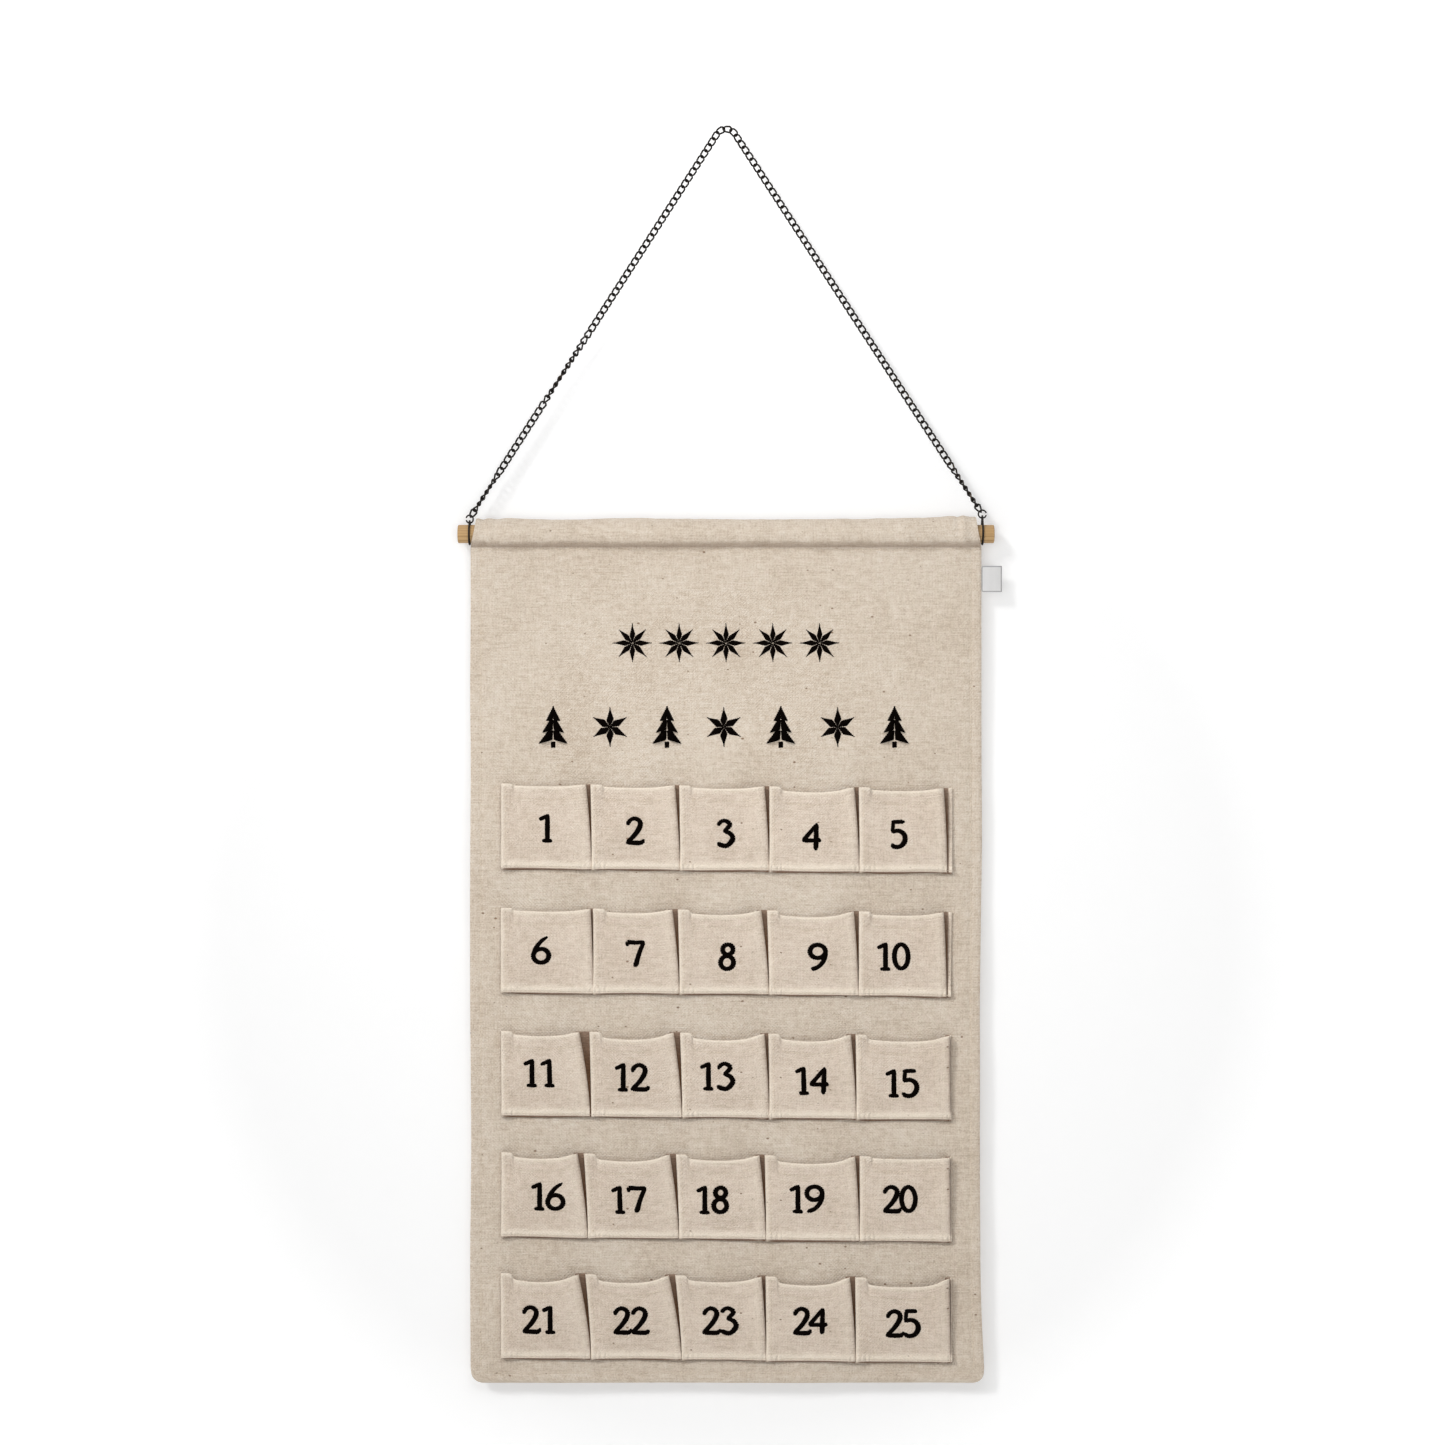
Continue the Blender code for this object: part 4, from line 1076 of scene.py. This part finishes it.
# Each digit's strokes, as shares of its height: (x, z, weight) points, and whether they make a closed ring.
DIGIT_SHARES = {
    "0": [(oval(0.31, 0.50, 0.245, 0.43, 1.0, 0.85), True)],
    "1": [
        ([(0.06, 0.81, 0.95), (0.17, 0.86, 0.8), (0.31, 0.95, 0.75)], False),
        ([(0.325, 0.965, 0.9), (0.325, 0.50, 1.0), (0.335, 0.05, 1.0)], False),
        ([(0.17, 0.05, 0.8), (0.49, 0.05, 0.8)], False),
    ],
    "2": [
        (
            [
                (0.09, 0.72, 1.05), (0.15, 0.85, 0.85), (0.32, 0.93, 0.85), (0.50, 0.84, 0.95),
                (0.52, 0.65, 1.05), (0.35, 0.36, 0.95), (0.08, 0.08, 0.8),
            ],
            False,
        ),
        ([(0.06, 0.07, 0.85), (0.42, 0.06, 0.95), (0.58, 0.07, 0.9), (0.65, 0.16, 0.85)], False),
    ],
    "3": [
        (
            [(0.10, 0.79, 1.0), (0.18, 0.90, 0.8), (0.34, 0.94, 0.85), (0.51, 0.80, 0.95),
             (0.30, 0.56, 0.75)],
            False,
        ),
        (
            [(0.30, 0.57, 0.75), (0.52, 0.48, 0.95), (0.60, 0.28, 1.1), (0.38, 0.05, 0.95),
             (0.06, 0.12, 0.95)],
            False,
        ),
    ],
    "4": [
        ([(0.54, 0.93, 0.8), (0.30, 0.65, 0.85), (0.06, 0.37, 0.95)], False),
        ([(0.04, 0.36, 0.85), (0.45, 0.36, 0.85), (0.67, 0.38, 1.0)], False),
        ([(0.53, 0.93, 0.85), (0.51, 0.50, 1.0), (0.50, 0.05, 1.05)], False),
    ],
    "5": [
        ([(0.09, 0.93, 0.8), (0.50, 0.94, 0.85)], False),
        ([(0.13, 0.94, 0.85), (0.12, 0.76, 0.8), (0.10, 0.58, 0.75)], False),
        (
            [
                (0.10, 0.57, 0.75), (0.31, 0.62, 0.9), (0.51, 0.50, 1.0), (0.55, 0.28, 1.1),
                (0.43, 0.09, 0.95), (0.22, 0.04, 0.9), (0.06, 0.12, 0.95),
            ],
            False,
        ),
    ],
    "6": [
        ([(0.55, 0.96, 0.6), (0.33, 0.80, 0.8), (0.15, 0.56, 0.95), (0.07, 0.32, 1.0)], False),
        (oval(0.34, 0.30, 0.275, 0.245, 1.0, 0.85), True),
    ],
    "7": [
        ([(0.05, 0.80, 0.8), (0.09, 0.91, 0.95), (0.35, 0.90, 0.85), (0.66, 0.92, 0.8)], False),
        ([(0.63, 0.91, 0.85), (0.47, 0.52, 0.95), (0.33, 0.05, 1.1)], False),
    ],
    "8": [(oval(0.32, 0.75, 0.185, 0.18, 1.0, 0.85), True), (oval(0.30, 0.29, 0.23, 0.23, 1.0, 0.85), True)],
    "9": [
        (oval(0.33, 0.70, 0.275, 0.235, 1.0, 0.85), True),
        ([(0.62, 0.66, 1.0), (0.55, 0.40, 0.95), (0.37, 0.17, 0.85), (0.11, 0.05, 0.95)], False),
    ],
}


def embroider_numeral(number, surface):
    """A pocket's number in satin stitch, where the frame has it."""
    node = "numeral_" + str(number).zfill(2)
    low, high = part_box(node)
    digits = str(number)
    crossings = []
    advance = ADVANCE_SHARES[digits[0]] + KERNING_SHARES.get(digits[1], 0) if len(digits) > 1 else 0
    for place, digit in enumerate(digits):
        lean = RANDOM.uniform(-0.02, 0.02)
        for points, closed in DIGIT_SHARES[digit]:
            line = [
                (
                    NUMERAL_HEIGHT * (x + lean * z + advance * place),
                    NUMERAL_HEIGHT * z,
                    NUMERAL_HEIGHT * STROKE_SHARE * weight,
                )
                for x, z, weight in points
            ]
            crossings += stroke_crossings(line, closed)
    ink = [x for crossing in crossings for x, _ in crossing]
    middle = ((low.x + high.x) / 2 - (min(ink) + max(ink)) / 2, (low.z + high.z) / 2 - NUMERAL_HEIGHT / 2)
    satin("embroidered_" + str(number).zfill(2), surface, middle, crossings, node)


def embroider_star(node, arms, surface):
    """A star in satin stitch: each arm is a petal of threads laid across it."""
    low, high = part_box(node)
    middle = ((low.x + high.x) / 2, (low.z + high.z) / 2)
    outer = STAR_SIZE / 2
    waist = outer * STAR_WAIST_SHARE
    half = math.pi / arms
    shoulder = waist * math.cos(half)
    crossings = []
    for arm in range(arms):
        angle = 2 * half * arm
        along = Vector((math.sin(angle), math.cos(angle)))
        across = Vector((along.y, -along.x))
        for i in range(int(outer / SATIN_PITCH)):
            r = SATIN_PITCH * (i + 1.5)
            if r > shoulder:
                width = waist * math.sin(half) * max(STAR_TIP_SHARE, (outer - r) / (outer - shoulder))
            else:
                width = r * math.tan(half)
            slope = along * width * math.tan(SATIN_SLANT)
            first = along * r - across * width - slope
            second = along * r + across * width + slope
            crossings.append((tuple(first), tuple(second)))
    satin("embroidered_" + node, surface, middle, crossings, node)


# A fir's right-hand outline from its tip: (share of the half width, share of the height).
FIR_SHARES = (
    (0, 1), (0.50, 0.66), (0.26, 0.66), (0.76, 0.38), (0.42, 0.38), (1, 0.12), (0.16, 0.12), (0.16, 0),
)
BRANCH_DROOP = 0.0022
# How far a branch's threads reach past the fir's middle, and at least away from it.
BRANCH_ROOT = 0.0003
BRANCH_LEAST = 0.0006


def embroider_fir(node, surface):
    """A fir in satin stitch: threads run down and out from its middle, as its branches do."""
    low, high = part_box(node)
    middle = ((low.x + high.x) / 2, low.z)
    crossings = []
    for side in (-1, 1):
        for (u0, v0), (u1, v1) in zip(FIR_SHARES, FIR_SHARES[1:]):
            steps = int((v0 - v1) * FIR_HEIGHT / SATIN_PITCH)
            for i in range(steps):
                share = (i + 0.5) / steps
                reach = FIR_WIDTH / 2 * blend(u0, u1, share)
                z = FIR_HEIGHT * blend(v0, v1, share)
                droop = BRANCH_DROOP * reach / (FIR_WIDTH / 2)
                root = (-side * BRANCH_ROOT, z + droop)
                crossings.append((root, (side * max(reach, BRANCH_LEAST), z - droop / 2)))
    satin("embroidered_" + node, surface, middle, crossings, node)


def sew_panel(face, strips):
    """All the stitching and embroidery of the panel."""
    cloth = Surface(face)
    seam = DOWEL_AXIS.z + sleeve_section(LAYER + CLOTH)[0][1] - SLEEVE_SEAM_DROP
    half = PANEL_WIDTH / 2 - SLEEVE_SEAM_INSET
    sew("sleeve_stitches", cloth, [[(-half, seam), (half, seam)]], ["sleeve_seam"])

    low = PANEL_BOTTOM + EDGE_STITCH_INSET
    turn = CORNER_RADIUS / 2
    heights = np.linspace(seam - EDGE_STITCH_DROP, low + turn, 30)
    left_side = [(side_edges(z)[0] + EDGE_STITCH_INSET, z) for z in heights]
    right_side = [(side_edges(z)[1] - EDGE_STITCH_INSET, z) for z in heights]
    foot = [(left_side[-1][0] + turn, low), (right_side[-1][0] - turn, low)]
    sew("edge_stitches", cloth, [left_side + foot + right_side[::-1]], ["edge_topstitch"])

    for row, strip in enumerate(strips):
        surface = Surface(strip)
        sew_strip(row, surface)
        for pocket in range(POCKETS):
            embroider_numeral(POCKETS * row + pocket + 1, surface)
    for name, count, arms in (("star_", 5, 8), ("snow_star_", 3, 6)):
        for i in range(count):
            embroider_star(name + str(i + 1), arms, cloth)
    for i in range(4):
        embroider_fir("fir_" + str(i + 1), cloth)


# The foot's stitches: how high they run, and how far in from the strip's ends they start and end.
FOOT_STITCH_HEIGHT = 0.0012
FOOT_STITCH_INSETS = (0.0016, 0.0010)
# Up a pocket's left fold: how far in from it, how far above the foot and how far below the mouth.
TAB_STITCH_INSET = 0.0029
TAB_STITCH_ENDS = (0.0036, 0.0006)
# Up the strip's end, where it is wide enough: how far above the foot and how far below the mouth.
WIDE_TAB = 0.0020
END_STITCH_ENDS = (0.0040, 0.0015)
# Along the mouth's hem: how far in from the pocket's corners, and the share of the mouth's sag.
MOUTH_STITCH_INSETS = (0.0085, 0.0020)
MOUTH_STITCH_SAG = 0.88
# Along a mouth: (share of its width, share of its sag).
MOUTH_STITCH_SHARES = (
    (0, 0.56), (0.08, 0.74), (0.25, 0.92), (0.5, 1.0), (0.72, 0.80), (0.9, 0.36), (1, 0.12),
)


def sew_strip(row, surface):
    """A strip's stitching: along its foot, up each pocket's left and the strip's end, and along the hems."""
    start, width, bottom = STRIP_FRAMES[row]
    end = start + width

    def at(x, height):
        return x, bottom + height - strip_fall(row, x)

    lines = [[]]
    first = start + FOOT_STITCH_INSETS[0]
    last = end - FOOT_STITCH_INSETS[1]
    for i in range(41):
        x, z = at(blend(first, last, i / 40), FOOT_STITCH_HEIGHT)
        lines[0].append((x, z + foot_wave(row, x, FOOT_STITCH_HEIGHT)))
    if END_TABS[row] > WIDE_TAB:
        middle = end - END_TABS[row] / 2
        lines.append([at(middle, END_STITCH_ENDS[0]), at(middle, STRIP_HEIGHT - END_STITCH_ENDS[1])])
    level = STRIP_HEIGHT - HEM
    seams = [start + width * share for share in SEAM_SHARES[row]]
    leans = [0, *FOLD_LEANS[row]]
    for pocket, (left, right) in enumerate(zip(seams, seams[1:])):
        corner = left - leans[pocket]
        top = at(corner + TAB_STITCH_INSET, STRIP_HEIGHT - TAB_STITCH_ENDS[1])
        lines.append([at(left + TAB_STITCH_INSET, TAB_STITCH_ENDS[0]), top])
        sag = MOUTH_SAGS[row][pocket] * MOUTH_STITCH_SAG
        first = corner + MOUTH_STITCH_INSETS[0]
        last = right - leans[pocket + 1] - FOLD_GAPS[row][pocket] - MOUTH_STITCH_INSETS[1]
        lines.append([at(blend(first, last, u), level - sag * drop) for u, drop in MOUTH_STITCH_SHARES])
    number = str(row + 1)
    sew("pocket_stitches_" + number, surface, lines, ["pocket_stitching_" + number])


# Dowel, chain, rings and loops


def make_dowel():
    """A turned and sanded dowel with eased ends."""
    low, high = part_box("dowel")
    bpy.ops.mesh.primitive_cylinder_add(
        vertices=64,
        radius=DOWEL_DIAMETER / 2,
        depth=high.x - low.x,
        location=((low.x + high.x) / 2, 0, DOWEL_AXIS.z),
        rotation=(0, math.radians(90), 0),
    )
    dowel = bpy.context.object
    ease_ends = dowel.modifiers.new("eased ends", "BEVEL")
    ease_ends.width = DOWEL_EASE
    ease_ends.segments = 4
    ease_ends.limit_method = "ANGLE"
    ease_ends.angle_limit = math.radians(60)
    apply_modifiers(dowel)
    finished(dowel, "turned_dowel", "dowel", BIRCH, ["dowel"], smooth=35)


def wire_piece(name, points, thickness, closed, node):
    """A bent wire along a smooth line."""
    curve = bpy.data.curves.new(name, "CURVE")
    curve.dimensions = "3D"
    curve.bevel_depth = thickness / 2
    curve.bevel_resolution = 3
    curve.use_fill_caps = True
    spline = curve.splines.new("POLY")
    spline.points.add(len(points) - 1)
    for knot, point in zip(spline.points, points):
        knot.co = (*point, 1)
    spline.use_cyclic_u = closed
    wire = bpy.data.objects.new(name, curve)
    bpy.context.collection.objects.link(wire)
    only(wire)
    bpy.ops.object.convert(target="MESH")
    return finished(bpy.context.object, name, "chain", BRONZE, [node], smooth=60)


def loop_rise(side):
    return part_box(side + "_dowel_loop")[1].z - LOOP_WIRE / 2 - DOWEL_AXIS.z


def loop_x(side):
    low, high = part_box(side + "_dowel_loop")
    return (low.x + high.x) / 2


def make_loop(side):
    """The wire loop round one end of the dowel: wide below, and narrow where the jump ring holds it."""
    rise = loop_rise(side)
    low = DOWEL_DIAMETER / 2 + CLEARANCE + LOOP_WIRE / 2
    high = LOOP_TOP_DIAMETER / 2
    spread = math.acos((low - high) / (rise - high))
    points = []
    for radius, centre, start, end, steps in (
        (low, 0, spread, math.tau - spread, 48),
        (high, rise - high, math.tau - spread, math.tau + spread, 12),
    ):
        for i in range(steps + 1):
            angle = blend(start, end, i / steps)
            place = Vector((loop_x(side), -radius * math.sin(angle), centre + radius * math.cos(angle)))
            points.append(place + Vector((0, 0, DOWEL_AXIS.z)))
    wire_piece(side + "_loop_wire", points, DRAWN_WIRE, True, side + "_dowel_loop")


def ring_middle(side):
    grip = (WIRE + LOOP_WIRE) / 2 + CLEARANCE
    radius = (RING_DIAMETER - WIRE) / 2
    return Vector((loop_x(side), 0, DOWEL_AXIS.z + loop_rise(side) - grip + radius))


def ring_flat(side):
    """The level direction in which a jump ring lies, outwards."""
    turn = LEFT_RING_TURN if side == "left" else 0
    out = -1 if side == "left" else 1
    return out * Vector((math.cos(turn), math.sin(turn), 0))


def make_ring(side):
    """An open jump ring, its slot on the outer side."""
    radius = (RING_DIAMETER - WIRE) / 2
    opening = (RING_SLOT + WIRE) / radius
    points = []
    for i in range(41):
        angle = opening / 2 + (math.tau - opening) * i / 40
        reach = ring_flat(side) * math.cos(angle) + Vector((0, 0, math.sin(angle)))
        points.append(ring_middle(side) + radius * reach)
    wire_piece(side + "_ring_wire", points, WIRE, False, side + "_jump_ring")


def chain_end(side, crown):
    """Where the chain's end link closes round its jump ring, and that ring's axis."""
    flat = ring_flat(side)
    axis = Vector((flat.y, -flat.x, 0))
    rise = (crown - ring_middle(side)).normalized()
    pull = (rise - axis * rise.dot(axis)).normalized()
    held = ring_middle(side) + pull * (RING_DIAMETER - WIRE) / 2
    return held - rise * (WIRE + LINK_SLACK), axis


def turn_at(shares, share):
    """The turn at this share of a leg, read from pairs of (share, degrees)."""
    for (start, first), (end, last) in zip(shares, shares[1:]):
        if share <= end:
            return math.radians(blend(first, last, ease((share - start) / (end - start))))
    return math.radians(shares[-1][1])


def link_template():
    """One curb link: a ring of wire drawn out to an oval along X, and twisted so that the chain lies flat."""
    bpy.ops.mesh.primitive_torus_add(
        major_segments=18, minor_segments=8, major_radius=(LINK_WIDTH - WIRE) / 2, minor_radius=DRAWN_WIRE / 2
    )
    link = bpy.context.object
    half = (LINK_PITCH + WIRE) / 2
    stretch = half - (LINK_WIDTH - WIRE) / 2

    def drawn(point):
        x = point.x + math.copysign(stretch, point.x)
        return Matrix.Rotation(LINK_TWIST * x / half, 3, "X") @ Vector((x, point.y, point.z))

    move_points(link, drawn)
    return link


def make_chain():
    """The curb chain, link by link, from the left jump ring over the hook's bar to the right one."""
    radius = (HOOK_BAR_DIAMETER + LINK_WIDTH) / 2
    crown = Vector((0, 0, -HOOK_BAR_DIAMETER / 2))
    front = Vector((0, -1, 0))
    legs = {}
    for side, sign in (("left", -1), ("right", 1)):
        end, axis = chain_end(side, crown)
        reach = crown - end
        tangent = math.asin(radius / math.hypot(reach.x, reach.z)) + math.atan2(abs(reach.x), reach.z)
        touch = crown + radius * Vector((sign * math.cos(tangent), 0, math.sin(tangent)))
        legs[side] = (end, touch, axis, math.radians(90) - tangent)
    left_end, left_touch, left_axis, left_lean = legs["left"]
    right_end, right_touch, right_axis, right_lean = legs["right"]
    left = (left_touch - left_end).length
    arc = radius * (left_lean + right_lean)
    right = (right_end - right_touch).length

    def leg_turns(shares, along, axis, offset):
        across = front.cross(along).normalized()
        end = math.degrees(math.atan2(front.dot(axis), across.dot(axis))) + offset
        return (*shares, (END_TURN_SHARE, end), (1, end))

    up = (left_touch - left_end).normalized()
    down = (right_end - right_touch).normalized()
    left_turns = leg_turns(LEFT_TURN_SHARES, up, left_axis, 45)
    right_turns = leg_turns(RIGHT_TURN_SHARES, down, right_axis, -45)

    half = (LINK_PITCH + WIRE) / 2
    total = left + arc + right
    count = round((total - 2 * half) / (LINK_PITCH - LINK_SLACK)) + 1
    pitch = (total - 2 * half) / (count - 1)
    places = []
    for i in range(count):
        s = half + pitch * i
        if s < left:
            middle, along = left_end + up * s, up
            turn = turn_at(left_turns, 1 - s / left)
        elif s < left + arc:
            angle = (s - left) / radius - left_lean
            middle = crown + radius * Vector((math.sin(angle), 0, math.cos(angle)))
            along = Vector((math.cos(angle), 0, -math.sin(angle)))
            turn = 0
        else:
            middle, along = right_touch + down * (s - left - arc), down
            turn = turn_at(right_turns, (s - left - arc) / right)
        turn += RANDOM.uniform(-LINK_WOBBLE, LINK_WOBBLE)
        spin = Matrix.Rotation(turn, 3, along)
        across = front.cross(along).normalized()
        place = Matrix((along, spin @ across, spin @ front)).transposed().to_4x4()
        place.translation = middle
        places.append(place)
    chain = copies(link_template(), places)
    nodes = ["chain_left", "chain_crown", "chain_right"]
    finished(chain, "curb_chain", "chain", BRONZE, nodes)


# Side label


def make_label():
    """A woven tape folded once and sewn into the side seam, a little curled."""
    low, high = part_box("side_label")
    middle = (low.y + high.y) / 2
    gap = (high.y - low.y - LABEL_CLOTH) / 2
    width = high.x - low.x
    front = [(u, gap * place) for u, place in LABEL_LEAF]
    fold = [*front, (1.00, 0), *[(u, -y) for u, y in reversed(front)]]
    rows = []
    for i in range(9):
        share = i / 8
        z = blend(low.z, high.z, share)
        curl = LABEL_CURL * (share - LABEL_CURL_MIDDLE) ** 2
        rows.append([Vector((low.x + width * u, middle + y - curl * u * u, z)) for u, y in fold])
    tape = cloth_grid(rows)
    thicken(tape, LABEL_CLOTH)
    finished(tape, "woven_label", "label", TAPE, ["side_label"], smooth=60)


# Room, light and camera


def directly_seen(tree):
    """1 for a ray from the camera or off a gloss, and 0 for one that only carries light."""
    path = add_node(tree, "ShaderNodeLightPath")
    return calculated(tree, "MAXIMUM", path.outputs["Is Camera Ray"], path.outputs["Is Glossy Ray"])


def add_plane(name, location, tilt, paint):
    bpy.ops.mesh.primitive_plane_add(size=ROOM, location=location, rotation=(math.radians(tilt), 0, 0))
    plane = bpy.context.object
    plane.name = name
    plane.data.materials.append(paint)
    return plane


def make_room():
    """A white wall just behind the calendar and a pale floor below it. The wall is clear from behind."""
    wall_paint = bpy.data.materials.new("white wall")
    wall_paint.use_nodes = True
    tree = wall_paint.node_tree
    tree.nodes.clear()
    behind = add_node(tree, "ShaderNodeNewGeometry").outputs["Backfacing"]
    settings = {"operation": "SUBTRACT", "use_clamp": True}
    shown = add_node(tree, "ShaderNodeMath", settings, {0: directly_seen(tree), 1: behind})
    paint = add_node(tree, "ShaderNodeBsdfDiffuse", inputs={"Color": hex_colour("DCDCDC")})
    # The wall is brighter away from the calendar, as in the photograph.
    # Painted light: the wall also glows, less near the calendar and more away from it.
    away = add_node(
        tree,
        "ShaderNodeVectorMath",
        {"operation": "DISTANCE"},
        {0: object_place(tree), 1: (0, PANEL_HEIGHT_ON_WALL, 0)},
    ).outputs["Value"]
    glow = ranged(tree, away, 0.35, 0.65, 0.35, 0.79)
    lift = add_node(tree, "ShaderNodeEmission", inputs={"Color": (1, 1, 1, 1), "Strength": glow})
    lit = add_node(tree, "ShaderNodeAddShader", inputs={0: paint.outputs[0], 1: lift.outputs[0]})
    clear = add_node(tree, "ShaderNodeBsdfTransparent")
    mixed = add_node(
        tree, "ShaderNodeMixShader", inputs={0: shown.outputs[0], 1: clear.outputs[0], 2: lit.outputs[0]}
    )
    add_node(tree, "ShaderNodeOutputMaterial", inputs={"Surface": mixed.outputs[0]})
    floor_paint, _, shader = new_material("pale floor", roughness=0.8)
    shader.inputs["Base Color"].default_value = hex_colour("EFEFEF")
    wall = add_plane("wall", (0, WALL_Y, FLOOR_Z + ROOM / 2), 90, wall_paint)
    floor = add_plane("floor", (0, 0, FLOOR_Z), 0, floor_paint)


def add_sun(name, tilt, turn, energy, angle):
    bpy.ops.object.light_add(type="SUN", rotation=(math.radians(tilt), 0, math.radians(turn)))
    sun = bpy.context.object
    sun.name = name
    sun.data.energy = energy
    sun.data.angle = math.radians(angle)


def make_light():
    """A key from the upper left, a softbox over the calendar, a fill from behind, and light from overhead."""
    add_sun("key", tilt=56, turn=-45, energy=1.14, angle=11)
    bpy.ops.object.light_add(type="AREA", location=SOFTBOX_PLACE)
    softbox = bpy.context.object
    softbox.name = "softbox"
    softbox.rotation_euler = (Vector(SOFTBOX_AIM) - softbox.location).to_track_quat("-Z", "Y").to_euler()
    softbox.data.size = 0.5
    softbox.data.energy = 1.66
    softbox.visible_camera = False
    add_sun("fill", tilt=55, turn=150, energy=0.5, angle=30)
    world = bpy.data.worlds.new("overhead light")
    world.use_nodes = True
    tree = world.node_tree
    # Each direction's height runs from -1 to 1. The surroundings look plain white, whatever light they give.
    height = separated(tree, add_node(tree, "ShaderNodeTexCoord").outputs["Generated"])["Z"]
    overhead = ranged(tree, height, 0.2, 1.0, 0.0, 0.93)
    background = tree.nodes["Background"]
    background.inputs["Color"].default_value = (1, 1, 1, 1)
    tree.links.new(ranged(tree, directly_seen(tree), 0.0, 1.0, overhead, 1.0), background.inputs["Strength"])
    bpy.context.scene.world = world


def make_camera():
    """The photograph's view: level, straight at the front, with the whole frame square."""
    middle = PHOTO_SIDE / 2
    x = (middle - PHOTO_ORIGIN[0]) * PHOTO_SCALE
    z = -(middle - PHOTO_ORIGIN[1]) * PHOTO_SCALE
    bpy.ops.object.camera_add(location=(x, -CAMERA_DISTANCE, z), rotation=(math.radians(90), 0, 0))
    camera = bpy.context.object
    camera.data.sensor_width = SENSOR * 1000
    camera.data.lens = SENSOR * 1000 * CAMERA_DISTANCE / (PHOTO_SIDE * PHOTO_SCALE)
    bpy.context.scene.camera = camera
    bpy.context.scene.view_settings.view_transform = "Standard"


make_camera()
make_light()
make_room()
make_dowel()
for end_side in ("left", "right"):
    make_loop(end_side)
    make_ring(end_side)
make_chain()
face_canvas = make_panel()
pocket_rows = [make_strip(row) for row in range(len(SEAM_SHARES))]
sew_panel(face_canvas, pocket_rows)
make_label()
